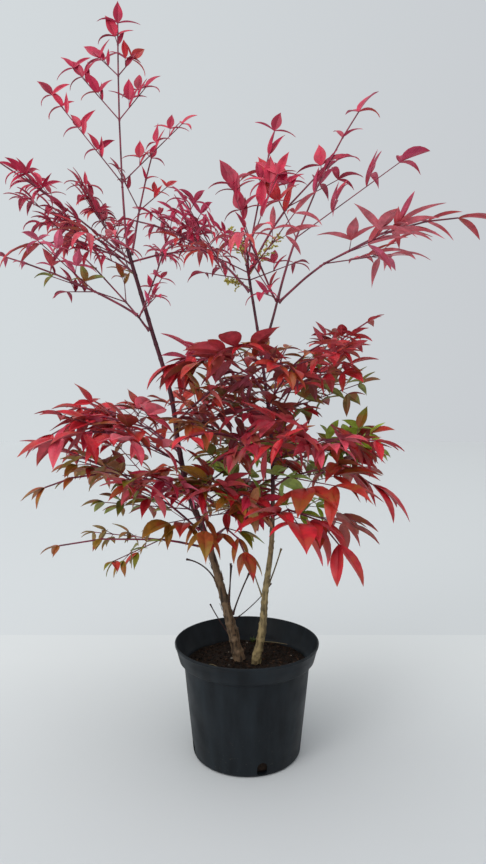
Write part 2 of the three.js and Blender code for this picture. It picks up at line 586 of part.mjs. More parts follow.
class Blade {
  constructor(leaf, others) {
    this.leaf = leaf;
    this.others = others;
    this.solids = [];
  }

  add(solid) {
    const box = solid.boundingBox();
    const clear = this.others.every((other) => {
      const bounds = other.boundingBox();
      const apart = [0, 1, 2].some(
        (i) => box.min[i] > bounds.max[i] + LEAST_GAP || box.max[i] < bounds.min[i] - LEAST_GAP,
      );
      return apart || other.minGap(solid, LEAST_GAP) >= LEAST_GAP;
    });
    if (clear) {
      this.solids.push(solid);
    }
    return clear;
  }

  // A shoot through points that ends in a leaflet, with side shoots at its joints.
  addShoot(points, alongs, joints, face, radius, seed) {
    const last = points.length - 1;
    const endLength = this.leafletLength(childSeed(seed, 9), END_LEAFLET);
    const end = leafletShape(points[last], alongs[last], endLength, 0);
    const sizes = [...axisSizes(points, radius), [end.halfWidth, end.depth], [0, 0]];
    if (!this.add(limbThrough([...points, end.middle, end.tip], sizes, face, TWIG_SIDES))) {
      return false;
    }
    joints.forEach((joint, index) => {
      for (const side of [1, -1]) {
        this.addSide(joint, face, radius, side, childSeed(seed, index * 2 + (side > 0 ? 0 : 1)));
      }
    });
    return true;
  }

  // A side shoot of order -1 is a leaflet, of order 0 a leaflet on a short stalk, and of a higher
  // order a straight twig with joints of its own.
  addSide(joint, face, radius, side, seed) {
    const angle = side * (joint.angle + ANGLE_SPREAD * scatter(seed, 1));
    const lift = LIFT_SPREAD * scatter(seed, 2);
    let out = this.swung(joint.along, face, angle, lift);
    if (joint.order < 0) {
      out = leant(out, DOWN, this.leaf.sag);
    } else if (joint.order === 0) {
      out = leant(out, UP, this.leaf.stand);
    }
    const rolled = turned(across(face, out), out, this.leaf.roll * scatter(seed, 4));
    if (joint.order < 1) {
      const size = this.leafletLength(seed, joint.order < 0 ? SIDE_LEAFLET : END_LEAFLET);
      const stalk = joint.order < 0 ? 0 : SHORT_STALK * this.leaf.leaflet;
      const level = rolled.clone().lerp(UP, this.leaf.level * (1 - out.z ** 2));
      this.add(leafletSolid(joint.point, out, level, size, stalk));
      return;
    }
    const orders = TWIG_ORDERS[joint.order];
    const lop = side < 0 ? this.leaf.lop ?? 0 : 0;
    const reach = (this.leaf.reach ?? 1) * (1 - lop);
    const length = joint.left * joint.share * reach * (1 + LENGTH_SPREAD * scatter(seed, 3));
    const end = moved(joint.point, out, length);
    const joints = [];
    let distance = 0;
    const steps = internodes(length, orders.length + 1, TWIG_INTERNODE_RATIO);
    steps.slice(0, orders.length).forEach((step, index) => {
      distance += step;
      joints.push({
        point: moved(joint.point, out, distance),
        along: out,
        left: length - distance,
        order: orders[index],
        angle: this.leaf.angle,
        share: SIDE_SHARES[index],
      });
    });
    this.addShoot([joint.point, end], [out, out], joints, rolled, radius * ROOT_RATIO, seed);
  }

  leafletLength(seed, share) {
    return this.leaf.leaflet * share * (1 + LENGTH_SPREAD * scatter(seed, 5));
  }

  swung(along, face, angle, lift) {
    const normal = across(face, along);
    const out = turned(along, normal, angle);
    return turned(out, out.clone().cross(normal).normalize(), lift);
  }
}

function bladeFace(leaf) {
  return UP.clone().multiplyScalar(Math.cos(radians(leaf.lean)))
    .addScaledVector(direction(leaf.face, 0), Math.sin(radians(leaf.lean)));
}

// A blade's axis from its stem over its joints, with the side shoots that its joints carry.
function layBlade(leaf, start, from) {
  const points = [start.clone()];
  const alongs = [];
  const whole = leaf.bare + leaf.blade;
  let distance = from;
  const stem = leaf.bare === 0 ? leaf.stem : leaf.bare - from;
  for (const step of [stem, ...internodes(leaf.blade, leaf.sides.length, INTERNODE_RATIO)]) {
    const share = (distance + step / 2) / whole;
    const along = direction(leaf.heading + leaf.veer * share, leaf.rise - leaf.arch * share);
    alongs.push(along);
    points.push(moved(points[points.length - 1], along, step));
    distance += step;
  }
  alongs.push(alongs[alongs.length - 1]);
  const last = points.length - 1;
  const joints = [...leaf.sides, -1].map((order, index) => {
    const at = index + 1;
    const left = points[at].distanceTo(points[last]);
    const angle = at === last ? TRIO_ANGLE : leaf.angle;
    return { point: points[at], along: alongs[at], left, order, angle, share: SIDE_SHARES[index] };
  });
  const solid = limbThrough(points, axisSizes(points, AXIS_RADIUS), bladeFace(leaf), TWIG_SIDES);
  return { leaf, points, alongs, joints, solid };
}

function growBlade(laid, others) {
  const { leaf, points, alongs, joints } = laid;
  const blade = new Blade(leaf, others);
  if (!blade.addShoot(points, alongs, joints, bladeFace(leaf), AXIS_RADIUS, leaf.seed)) {
    throw new Error(`${leaf.name}_leaf has no room for its axis`);
  }
  return largestBody(wasm.Manifold.union(blade.solids).simplify(SLIVER));
}

// ---- The whole plant ----------------------------------------------------------------------------

const plant = new THREE.Group();
const limbs = {};
const solids = [];

function place(name, solid, colour, roughness) {
  solids.push(solid);
  plant.add(partMesh(name, geometryOf(solid), colour, roughness));
}

place("pot", makePot(), 0x2c353b, 0.55);
place("growing_medium", makeSoil(), 0x2a1c12, 0.95);

for (const cane of CANES) {
  limbs[cane.name] = makeCane(cane);
  place(cane.name, limbs[cane.name].solid, cane.colour, 0.8);
}

for (const shared of SHARED_STALKS) {
  const start = startOn(limbs[shared.on], shared, shared.radius);
  const points = bentPath(start, shared, 0, shared.length, STALK_STEPS);
  limbs[shared.name] = makeStalk(points, shared.radius, shared.tipRadius);
  place(shared.name, limbs[shared.name].solid, 0x5c1f2e, 0.6);
}

const laid = LEAVES.map((leaf) => {
  const carrier = limbs[leaf.on];
  if (leaf.bare === 0) {
    return layBlade(leaf, startOn(carrier, leaf, AXIS_RADIUS), 0);
  }
  const start = startOn(carrier, leaf, STALK_RADIUS);
  const length = leaf.bare - STEM_LENGTH;
  const points = bentPath(start, leaf, 0, length, STALK_STEPS);
  const stalk = makeStalk(points, STALK_RADIUS, AXIS_RADIUS);
  place(`${leaf.name}_stalk`, stalk.solid, 0x5c1f2e, 0.6);
  return layBlade(leaf, moved(points[STALK_STEPS], stalk.curve.getTangentAt(1), GAP), length + GAP);
});

laid.forEach((axis, index) => {
  const waiting = laid.slice(index + 1).map((later) => later.solid);
  const blade = growBlade(axis, solids.concat(waiting));
  place(`${axis.leaf.name}_leaf`, blade, axis.leaf.colour, 0.5);
});

export default plant;
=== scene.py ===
# Heavenly bamboo in a round nursery pot: the looks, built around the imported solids.
# Every length is in millimetres until a mesh is made, in the solids' own frame.
from functools import cache
from math import cos, degrees, exp, floor, pi, radians, sin, sqrt
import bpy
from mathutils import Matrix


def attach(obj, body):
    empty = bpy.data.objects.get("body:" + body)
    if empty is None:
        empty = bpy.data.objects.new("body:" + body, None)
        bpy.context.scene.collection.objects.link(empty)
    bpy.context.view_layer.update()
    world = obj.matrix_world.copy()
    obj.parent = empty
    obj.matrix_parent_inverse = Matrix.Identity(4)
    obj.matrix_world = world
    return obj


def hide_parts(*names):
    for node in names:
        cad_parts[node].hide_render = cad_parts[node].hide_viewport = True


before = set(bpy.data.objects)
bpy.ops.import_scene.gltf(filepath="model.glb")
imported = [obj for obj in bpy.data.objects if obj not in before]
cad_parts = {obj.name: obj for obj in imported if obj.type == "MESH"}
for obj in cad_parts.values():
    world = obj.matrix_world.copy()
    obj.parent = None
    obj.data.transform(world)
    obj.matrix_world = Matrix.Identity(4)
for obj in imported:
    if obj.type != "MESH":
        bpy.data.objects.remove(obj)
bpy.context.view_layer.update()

from types import SimpleNamespace as Values

import bpy
from mathutils import Matrix, Vector, noise

MM = 0.001
UP = Vector((0, 0, 1))
BODY = "root"

# ---- Sizes that the solids have too ----

GAP = 0.45  # the clear space between a limb and its carrier
POT = Values(height=146, rim_radius=95, band_foot_radius=89, band_height=22, neck_radius=83,
             neck_drop=6, base_radius=71, edge_round=5, wall=2, floor=3)
DRAIN = Values(count=4, width=13, height=16, sill=3, first_angle=-75)
SOIL_TOP = 119
SOIL_EDGE_FALL = 2

LEFT = "left_cane"
RIGHT = "right_cane"
LEFT_LOW = "left_low_stalk"
RIGHT_WIDE = "right_wide_stalk"

# foot and tip are radii, and a station is (height, x, y). Only the flares are slimmer than the solids'.
CANES = [
    Values(name=LEFT, foot=8, tip=2.3, flare=0.12, stations=[
        (110, -8, 6), (119, -10.5, 6), (178, -25, 8), (280, -54, 10), (337, -77, 12),
        (397, -90, 13), (470, -101, 14), (555, -126, 15), (664, -158, 15)]),
    Values(name=RIGHT, foot=6.4, tip=1.5, flare=0.1, stations=[
        (110, 11, -7), (119, 12, -7), (165, 20.5, -9), (212, 24, -11), (280, 32, -14),
        (403, 32, -16), (471, 25, -17), (542, 15, -18), (634, 0, -18)]),
]
CANE_TAPER = 0.33
FLARE_HEIGHT = 9

# A limb starts at a height on its carrier, or at a share of its length where place is 1 or less.
# arch is how far its rise falls by its end, and veer how far its heading turns, in degrees.
LIMB_FIELDS = ("on", "place", "heading", "rise", "length", "arch", "radius")


def limb_rows(*rows):
    return [Values(**dict(zip(LIMB_FIELDS, row)), veer=0) for row in rows]


STUBS = limb_rows(
    (LEFT, 222, 165, 62, 52, 58, 1.2),
    (LEFT, 152, 160, 48, 46, -12, 0.9),
    (LEFT, 190, -75, 78, 58, -6, 1.1),
    (LEFT, 176, -20, 72, 62, 8, 1.2),
    (LEFT, 196, 60, 74, 44, -8, 1.0),
    (LEFT, 168, 15, 30, 70, -22, 0.8),
    (RIGHT, 206, 150, 66, 52, -4, 1.0),
    (RIGHT, 222, 20, 66, 50, -6, 1.1),
    (RIGHT, 238, 60, 68, 42, 0, 1.0),
)
SHARED_STALKS = zip((LEFT_LOW, RIGHT_WIDE), (1.4, 1.5), limb_rows(  # name, radius at the tip, limb
    (LEFT, 556, 205, 52, 25, 0, 1.7),
    (RIGHT, 528, -36, 66, 64, -8, 1.9),
))

# ---- Tints: (upper side, under side, flushed patches) ----

CRIMSON = ("#b51d43", "#c24868", "#98283c")
SCARLET = ("#c22c48", "#ca5a74", "#aa3a46")
GARNET = ("#a0213c", "#a83e56", "#8a2438")
CARMINE = ("#bc2430", "#bb4650", "#a0402c")
ROSE = ("#d04a5c", "#cf6b76", "#b8444a")
BRICK = ("#ae3229", "#a8504a", "#8a5424")
WINE_RED = ("#962030", "#8c3a48", "#6a3a22")
RUSSET = ("#9c4c28", "#a06a48", "#867428")
BRONZE = ("#906222", "#937846", "#9a4428")
MOSS = ("#74721e", "#898f4a", "#94451f")
LEAF_GREEN = ("#93a636", "#9fb05c", "#7c8f2c")

# The slot of the leaflets, and the share of the sprays that have each tint.
RED = Values(slot="leaves_red", tints=[(CRIMSON, 0.44), (SCARLET, 0.28), (GARNET, 0.22), (CARMINE, 0.06)])
# The next palette's lighter tints go to near and left leaves: partly their own rose colour, partly painted
# light where light falls on the front and left of the crown.
ROSY_AND_LIT = Values(slot="leaves_bright", tints=[(CARMINE, 0.34), (ROSE, 0.36), (SCARLET, 0.2), (BRICK, 0.1)])
WINE = Values(slot="leaves_wine", tints=[(CARMINE, 0.36), (BRICK, 0.32), (WINE_RED, 0.2), (RUSSET, 0.12)])
OLIVE = Values(slot="leaves_olive", tints=[(RUSSET, 0.24), (BRONZE, 0.24), (MOSS, 0.28), (BRICK, 0.24)])
GREEN = Values(slot="leaves_green", tints=[(LEAF_GREEN, 0.46), (MOSS, 0.28), (BRONZE, 0.12), (BRICK, 0.14)])

# ---- Compound leaves, with the values of the solids ----

# The orders of the twigs at a twig's own joints, by its order. Order -1 is a single leaflet.
SPARSE = [[], [0], [0, 0], [0, 0, 0]]
LEAFY = [[], [0, 0], [0, 0, 0], [1, 0, 0, 0]]

# Kinds of leaf. stem: length before the first joint. reach, lop: lengthen the twigs, shorten one side's.
# face, lean: tilt the blade. lone: no short twigs on one side. angle, trio: of the twigs, of the last pair.
# stand, sag: lift short twigs, lower single leaflets. level: turns faces up. roll: turns twigs at random.
# droop: bends leaflets. slender: half width over length. broad, claw: widen the end ones, shorten others.
PLAIN = dict(stem=6, reach=1, lop=0, face=0, lean=0, lone=False, twigs=SPARSE)
SPREADING = dict(PLAIN, angle=50, trio=66, stand=0.62, sag=0.04, level=0.8, roll=30, lone=True, droop=75,
                 slender=0.12, broad=1.9, claw=1)
CLAWED = dict(PLAIN, angle=48, trio=60, stand=0.3, sag=0.12, level=0.6, roll=40, twigs=LEAFY, droop=85,
              slender=0.11, broad=1.2, claw=0.9)
ARCHING = dict(PLAIN, angle=42, trio=50, stand=0.1, sag=0.2, level=0.7, roll=30, droop=64,
               slender=0.09, broad=1.25, claw=0.82)
REACHING = dict(PLAIN, angle=40, trio=46, stand=0.1, sag=0, level=0.8, roll=20, droop=40,
                slender=0.1, broad=1.3, claw=0.9)
LAYERED = dict(PLAIN, angle=50, trio=58, stand=0.05, sag=0.12, level=0.5, roll=45, twigs=LEAFY, droop=38,
               slender=0.18, broad=1.25, claw=0.82)
NODDING = dict(PLAIN, angle=44, trio=52, stand=0.1, sag=0.18, level=0.5, roll=35, droop=38,
               slender=0.17, broad=1.25, claw=0.82)

# The orders of the twigs at a blade's joints, from its foot.
TALL = [3, 2, 1, 0]
FULL = [3, 1, -1]
HALF = [2, 0, -1]
SMALL = [1, -1]
LARGE = [1, 0, -1]
BROAD = [2, 1, -1]
FEW = [0, -1]
LEAF_FIELDS = ("name", "on", "place", "heading", "rise", "bare", "blade", "arch", "veer", "sides",
               "leaflet", "seed", "palette")


def leaf(kind, *values, **own):
    """A leaf's values: its kind's, those of LEAF_FIELDS, and its own."""
    return Values(**{**kind, **dict(zip(LEAF_FIELDS, values)), **own})


# bare is the length of the naked stalk, and blade that of the part with leaflets.
LEAVES = [
    # crown of the left cane
    leaf(SPREADING, "left_top", LEFT, 663, 155, 84, 86, 214, -4, -57, TALL, 27, 11, RED,
         face=-80, lean=70, angle=42, reach=0.76, lop=0.16),
    leaf(SPREADING, "left_upright", LEFT, 655, 60, 79, 62, 78, 6, -20, SMALL, 22, 112, RED,
         face=-60, lean=55, angle=32),
    leaf(CLAWED, "left_sweep", LEFT, 652, 190, 40, 0, 180, 8, 0, FULL, 28, 13, RED,
         stem=14, face=-90, lean=45, angle=16, reach=0.85, lop=0.15),
    leaf(ARCHING, "left_near", LEFT, 644, -150, 36, 0, 108, 54, -8, SMALL, 60, 14, ROSY_AND_LIT, stem=10),
    leaf(CLAWED, "left_inner", LEFT, 646, 36, 24, 0, 84, 16, -20, HALF, 28, 15, RED, stem=34),
    leaf(CLAWED, "left_back", LEFT, 634, 176, 54, 0, 112, 34, 0, HALF, 28, 16, RED,
         face=-90, lean=20, angle=34),
    # low leaf of the left cane, parted at its first joint
    leaf(SPREADING, "left_low_sweep", LEFT_LOW, 1, 190, 30, 60, 120, 14, -8, HALF, 25, 17, RED, lop=0.5),
    leaf(SPREADING, "left_low_back", LEFT_LOW, 0.86, 150, 46, 0, 120, 4, 6, SMALL, 24, 18, OLIVE, stem=30),
    leaf(SPREADING, "left_low_inner", LEFT_LOW, 0.88, -30, 60, 0, 84, -4, -8, SMALL, 22, 19, RED,
         face=-90, lean=20),
    # crown of the right cane
    leaf(CLAWED, "right_inner", RIGHT, 601, 176, 54, 58, 118, 44, 4, FULL, 28, 21, RED),
    leaf(SPREADING, "right_top", RIGHT, 633, 30, 79, 30, 150, 4, -4, HALF, 34, 62, RED,
         face=-90, lean=40, angle=18, reach=0.7),
    leaf(SPREADING, "right_upright", RIGHT, 626, 24, 66, 104, 106, 30, 4, SMALL, 34, 23, RED,
         angle=38, reach=0.8),
    leaf(SPREADING, "right_back", RIGHT, 612, 95, 52, 0, 150, 36, 10, LARGE, 28, 24, RED, reach=0.55),
    leaf(ARCHING, "right_near", RIGHT, 618, -95, 48, 0, 120, 70, 0, LARGE, 44, 25, ROSY_AND_LIT),
    # wide leaf of the right cane, parted at its first joint
    leaf(SPREADING, "right_wide_inner", RIGHT_WIDE, 0.96, -128, 50, 0, 92, 0, 0, SMALL, 24, 26, RED,
         face=-90, lean=30),
    leaf(SPREADING, "right_wide_upright", RIGHT_WIDE, 1, 11, 76, 80, 186, 20, 6, HALF, 38, 27, RED,
         face=-90, lean=10, angle=42, reach=0.85),
    leaf(REACHING, "right_wide_sweep", RIGHT_WIDE, 0.94, -16, 46, 72, 168, 44, 14, HALF, 54, 28, ROSY_AND_LIT,
         angle=32, reach=0.85),
    # lower crown, left
    leaf(LAYERED, "skirt_left_lowest", LEFT, 268, 202, 20, 62, 128, 32, -16, SMALL, 26, 71, OLIVE,
         stand=0, sag=0.3),
    leaf(LAYERED, "skirt_left_low", LEFT, 292, 190, 46, 48, 180, 30, 4, BROAD, 36, 32, WINE),
    leaf(LAYERED, "skirt_left_middle", LEFT, 340, -150, 34, 0, 150, 44, 0, LARGE, 36, 152, OLIVE, stem=40),
    leaf(LAYERED, "skirt_left_high", LEFT, 400, 188, 50, 0, 135, 66, -6, LARGE, 54, 133, ROSY_AND_LIT,
         stem=42, angle=52),
    leaf(NODDING, "skirt_left_near", LEFT, 380, -140, 44, 0, 170, 60, 0, LARGE, 54, 34, ROSY_AND_LIT),
    leaf(LAYERED, "skirt_left_back", LEFT, 396, 150, 40, 0, 170, 40, 0, BROAD, 37, 35, WINE),
    leaf(LAYERED, "skirt_left_low_back", LEFT, 316, 150, 30, 0, 150, 30, 0, SMALL, 38, 36, OLIVE),
    leaf(NODDING, "skirt_left_foot", LEFT, 300, -84, 42, 0, 64, 60, 0, SMALL, 50, 53, OLIVE, stem=20),
    # lower crown, middle
    leaf(NODDING, "skirt_top_near", RIGHT, 470, 190, 70, 0, 110, 84, 10, BROAD, 52, 37, ROSY_AND_LIT, stem=26),
    leaf(LAYERED, "skirt_top_left", LEFT, 436, -8, 50, 0, 140, 34, 0, BROAD, 34, 187, WINE),
    leaf(LAYERED, "skirt_top_middle", LEFT, 424, 4, 26, 0, 150, 30, 0, BROAD, 36, 88, WINE, stem=20),
    leaf(LAYERED, "skirt_top_right", RIGHT, 456, -64, 50, 0, 120, 36, 0, BROAD, 36, 90, WINE, stem=20),
    leaf(LAYERED, "skirt_middle_near", RIGHT, 384, -140, 40, 0, 150, 50, 20, BROAD, 38, 38, WINE),
    leaf(LAYERED, "skirt_middle", LEFT, 364, 8, 30, 0, 150, 30, 0, BROAD, 40, 54, OLIVE, stem=20),
    leaf(LAYERED, "skirt_middle_back", LEFT, 334, 34, 40, 0, 150, 30, 0, BROAD, 38, 55, GREEN, stem=20),
    leaf(LAYERED, "skirt_low_near", LEFT, 318, -52, 40, 0, 112, 50, 0, BROAD, 42, 51, ROSY_AND_LIT, angle=54),
    leaf(LAYERED, "skirt_low_middle", RIGHT, 300, -172, 52, 0, 110, 40, 0, BROAD, 40, 56, OLIVE, stem=20),
    leaf(NODDING, "skirt_lowest_near", LEFT, 278, -56, 54, 0, 50, 60, 0, FEW, 42, 39, OLIVE, stem=44),
    # lower crown, right
    leaf(LAYERED, "skirt_right_high", RIGHT, 448, 10, 54, 0, 150, 20, 0, BROAD, 30, 41, WINE, stem=26),
    leaf(LAYERED, "skirt_right_high_back", RIGHT, 420, 66, 48, 0, 100, 10, -8, LARGE, 32, 42, OLIVE,
         stem=36),
    leaf(LAYERED, "skirt_right_green", RIGHT, 362, 34, 38, 52, 116, 52, -10, BROAD, 36, 43, GREEN),
    leaf(LAYERED, "skirt_right_middle", RIGHT, 384, -36, 36, 0, 120, 40, 10, BROAD, 42, 57, ROSY_AND_LIT,
         stem=20),
    leaf(NODDING, "skirt_right_near", RIGHT, 352, -14, 44, 0, 112, 70, 0, LARGE, 66, 44, WINE, stem=20),
    leaf(NODDING, "skirt_right_low_near", RIGHT, 314, -56, 34, 0, 90, 66, 10, SMALL, 66, 45, WINE, stem=30),
    leaf(LAYERED, "skirt_back_high", RIGHT, 438, 76, 68, 0, 150, 50, 0, BROAD, 34, 46, OLIVE),
    leaf(LAYERED, "skirt_back_low", RIGHT, 300, 110, 40, 0, 150, 44, 0, LARGE, 38, 48, GREEN),
]

# The branching rule. A blade's joints are as in the solids. Here the twigs of the higher orders carry
# twigs of their own, and each twig ends in three leaflets.
INTERNODE_RATIO = 0.7
TWIG_INTERNODE_RATIO = 0.9
SIDE_SHARES = [0.82, 0.8, 0.7, 0.6, 0.5]
SHORT_STALK = 0.42
ANGLE_SPREAD = 12
LIFT_SPREAD = 16
LENGTH_SPREAD = 0.16
END_LEAFLET = 0.95
STEM_LENGTH = 6
AXIS_RADIUS = 1.4
TWIG_RATIO = 0.62
LEAST_TWIG = 0.42
STALK_RADIUS = 1.6
TIP_SHARE = 0.985
TWIG_TAPER = 0.7
JOINT_SWELL = 1.45
SWELL_LENGTH = 2.2
CLASP_SWELL = 0.8
CLASP_LENGTH = 4
ODD_LEAFLET = 0.75  # a leaflet whose own number is above this takes a tint of its own
FOOT_DEPTH = GAP + 1  # how far a limb's foot goes back from its start, into its carrier


# ---- Directions and paths ----


def direction(heading, rise):
    flat = cos(radians(rise))
    return Vector((flat * cos(radians(heading)), flat * sin(radians(heading)), sin(radians(rise))))


def turned(vector, about, angle):
    return Matrix.Rotation(radians(angle), 3, about) @ vector


def across(vector, along):
    return (vector - along * vector.dot(along)).normalized()


def mix(a, b, share):
    return a + (b - a) * share


def scatter(seed, index):
    """A repeatable number from -1 to 1."""
    wave = sin(seed * 12.9898 + index * 78.233) * 43758.5453
    return 2 * (wave - floor(wave)) - 1


def chance(seed, index):
    """A repeatable number from 0 to 1."""
    return (scatter(seed, index) + 1) / 2


def child_seed(seed, index):
    return (seed * 31 + index * 7 + 3) % 10007


def smooth_path(stations, steps):
    """Points on a centripetal Catmull-Rom curve through the stations, as three.js has it."""
    line = [stations[0] * 2 - stations[1], *stations, stations[-1] * 2 - stations[-2]]
    path = []
    for p0, p1, p2, p3 in zip(line, line[1:], line[2:], line[3:]):
        d0, d1, d2 = [(after - before).length ** 0.5 for before, after in ((p0, p1), (p1, p2), (p2, p3))]
        start = ((p1 - p0) / d0 - (p2 - p0) / (d0 + d1) + (p2 - p1) / d1) * d1
        end = ((p2 - p1) / d1 - (p3 - p1) / (d1 + d2) + (p3 - p2) / d2) * d1
        cubic = p1 * 2 - p2 * 2 + start + end
        square = p2 * 3 - p1 * 3 - start * 2 - end
        for step in range(steps):
            t = step / steps
            path.append(p1 + start * t + square * t * t + cubic * t * t * t)
    return [*path, stations[-1]]


class Limb:
    """A cane or a stalk: a line of points, and often a radius at each share of its length."""

    def __init__(self, points, radius=None):
        self.points = points
        self.radius = radius
        self.shares = [0.0]
        for before, after in zip(points, points[1:]):
            self.shares.append(self.shares[-1] + (after - before).length)
        self.length = self.shares[-1]
        self.shares = [share / self.length for share in self.shares]

    def at(self, share):
        """The point and the direction at a share of the length."""
        index = 1
        while index < len(self.shares) - 1 and self.shares[index] < share:
            index += 1
        before, after = self.points[index - 1], self.points[index]
        part = (share - self.shares[index - 1]) / (self.shares[index] - self.shares[index - 1])
        return mix(before, after, part), (after - before).normalized()

    def share_at_height(self, height):
        for index, point in enumerate(self.points[1:], 1):
            if point.z >= height:
                before = self.points[index - 1]
                part = (height - before.z) / (point.z - before.z)
                return mix(self.shares[index - 1], self.shares[index], part)
        return 1.0


def start_on(limb, spec, radius):
    """Where a limb of that radius starts beside its carrier, and the way back into it."""
    place = spec.place
    share = place if place <= 1 else limb.share_at_height(place)
    along = direction(spec.heading, spec.rise)
    point, axis = limb.at(share)
    slant = along.dot(axis)
    if share > TIP_SHARE:
        point = limb.points[-1]
        return point + axis * (GAP + radius * sqrt(1 - slant * slant)), -axis
    outward = across(along, axis)
    return point + outward * (limb.radius(share) + GAP + radius * abs(slant)), -outward


def bent_direction(spec, share):
    """The direction of a bent limb at a share of its length."""
    return direction(spec.heading + spec.veer * share, spec.rise - spec.arch * share)


def bent_path(start, spec, length, whole, steps):
    """Points along the first part of a limb that bends evenly over its whole length."""
    points = [start]
    for step in range(steps):
        along = bent_direction(spec, length * (step + 0.5) / steps / whole)
        points.append(points[-1] + along * length / steps)
    return points


def leant(vector, aim, share):
    """A direction turned by a share of the angle between it and another."""
    angle = degrees(vector.angle(aim, 0))
    if not 1 <= angle <= 179:
        return vector
    return turned(vector, vector.cross(aim).normalized(), angle * share)


def internodes(length, count, ratio=INTERNODE_RATIO):
    shares = [ratio ** step for step in range(count)]
    return [length * share / sum(shares) for share in shares]


# ---- Meshes ----


def new_mesh(name, vertices, faces):
    mesh = bpy.data.meshes.new(name)
    mesh.from_pydata(vertices, [], faces)
    return mesh


def place_object(name, data):
    thing = bpy.data.objects.new(name, data)
    bpy.context.scene.collection.objects.link(thing)
    return thing


class Batch:
    """Vertices and faces that become one piece."""

    def __init__(self):
        self.vertices = []
        self.faces = []
        self.slots = []

    def add(self, vertices, faces, slots):
        base = len(self.vertices)
        self.vertices += [vertex * MM for vertex in vertices]
        self.faces += [[base + index for index in face] for face in faces]
        self.slots += slots if isinstance(slots, list) else [slots] * len(faces)

    def piece(self, name, materials, slot, nodes=(), sharp=40):
        """A visible piece of these faces, with edges sharp above that angle."""
        mesh = new_mesh(name, self.vertices, self.faces)
        for material in materials:
            mesh.materials.append(material)
        mesh.polygons.foreach_set("material_index", self.slots)
        mesh.shade_smooth()
        mesh.set_sharp_from_angle(angle=radians(sharp))
        thing = place_object(name, mesh)
        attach(thing, BODY)
        if nodes:
            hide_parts(*nodes)
        return thing


def ring_faces(rings, size):
    """Quads between rings of vertices, and a cap at each end."""
    last = (rings - 1) * size
    faces = [[low + i, low + (i + 1) % size, low + size + (i + 1) % size, low + size + i]
             for low in range(0, last, size) for i in range(size)]
    return faces + [list(range(size))[::-1], list(range(last, last + size))]


def tube(batch, points, radii, sides, slot=0, relief=None):
    """A closed round limb. relief gives a number to add to the radius at a step and an angle."""
    along = (points[1] - points[0]).normalized()
    normal = across(UP if abs(along.z) < 0.9 else Vector((0, -1, 0)), along)
    vertices = []
    for step, point in enumerate(points):
        before = points[max(step - 1, 0)]
        after = points[min(step + 1, len(points) - 1)]
        along = (after - before).normalized()
        normal = across(normal, along)
        side = along.cross(normal)
        for i in range(sides):
            angle = 2 * pi * i / sides
            radius = radii[step] + (relief(step, angle) if relief else 0)
            vertices.append(point + (normal * cos(angle) + side * sin(angle)) * radius)
    batch.add(vertices, ring_faces(len(points), sides), slot)


# ---- Materials ----


def linear(colour):
    """A colour from its #rrggbb name, as Blender's sockets take it."""
    values = [int(colour[i:i + 2], 16) / 255 for i in (1, 3, 5)]
    return [v / 12.92 if v < 0.04045 else ((v + 0.055) / 1.055) ** 2.4 for v in values] + [1.0]


class Patterns:
    """Patterns in a node tree, in one kind of coordinates."""

    def __init__(self, tree, coordinates):
        self.tree = tree
        self.place = self.node("ShaderNodeTexCoord").outputs[coordinates]

    def node(self, kind, **inputs):
        node = self.tree.nodes.new(kind)
        self.fill(node, **inputs)
        return node

    def fill(self, node, **inputs):
        """Gives each input a value or a #name, or links it to an output. _ is a space in its name."""
        for name, value in inputs.items():
            socket = node.inputs[name.replace("_", " ")]
            if isinstance(value, bpy.types.NodeSocket):
                self.tree.links.new(value, socket)
            else:
                socket.default_value = linear(value) if isinstance(value, str) else value

    def noise(self, scale, detail=4.0, stretch=(1, 1, 1)):
        place = self.node("ShaderNodeMapping", Vector=self.place, Scale=stretch).outputs["Vector"]
        return self.node("ShaderNodeTexNoise", Vector=place, Scale=scale, Detail=detail).outputs["Fac"]

    def ranged(self, value, low, high, out_low=0, out_high=1):
        return self.node("ShaderNodeMapRange", Value=value, From_Min=low, From_Max=high,
                         To_Min=out_low, To_Max=out_high).outputs["Result"]

    def along(self, axis, low, high):
        """A number that goes from 0 at one place on an axis to 1 at another."""
        split = self.node("ShaderNodeSeparateXYZ", Vector=self.place)
        return self.ranged(split.outputs[axis], low, high)

    def blend(self, factor, first, second):
        """A colour between two."""
        node = self.node("ShaderNodeMix")
        node.data_type = "RGBA"
        self.fill(node, Factor=factor, A=first, B=second)
        return node.outputs["Result"]


class Finish(Patterns):
    """A material of one Principled shader, with patterns in object coordinates."""

    def __init__(self, name, colour, roughness, specular=0.5):
        self.material = bpy.data.materials.new(name)
        self.material.use_nodes = True
        super().__init__(self.material.node_tree, "Object")
        self.shade(Base_Color=colour, Roughness=roughness, Specular_IOR_Level=specular)

    def shade(self, **inputs):
        self.fill(self.tree.nodes["Principled BSDF"], **inputs)

    def bump(self, height, strength, distance):
        node = self.node("ShaderNodeBump", Height=height, Strength=strength, Distance=distance)
        self.shade(Normal=node.outputs["Normal"])


def shifted(colour, factor):
    """The same hue, lighter or darker."""
    values = [min(255, round(int(colour[i:i + 2], 16) * factor)) for i in (1, 3, 5)]
    return "#{:02x}{:02x}{:02x}".format(*values)


@cache
def leaf_finish(side, colour, roughness, flush):
    """A leaf's side, blotched, and flushed with a second colour in patches."""
    finish = Finish(f"leaf_{side}_{colour[1:]}", colour, roughness, specular=0.3)
    blotch = finish.ranged(finish.noise(90, 3), 0.35, 0.65)
    plain = finish.blend(blotch, shifted(colour, 0.88), shifted(colour, 1.1))
    patch = finish.ranged(finish.noise(45, 2), 0.5, 0.64, 0, 0.75)
    finish.shade(Base_Color=finish.blend(patch, plain, flush))
    finish.bump(finish.noise(900, 2), 0.25, 0.0004)
    return finish.material


def tint_materials(palette):
    """The materials of a palette: two for each tint, upper side first."""
    return [leaf_finish(*side, flush) for (upper, under, flush), _ in palette.tints
            for side in (("upper", upper, 0.4), ("under", under, 0.55))]


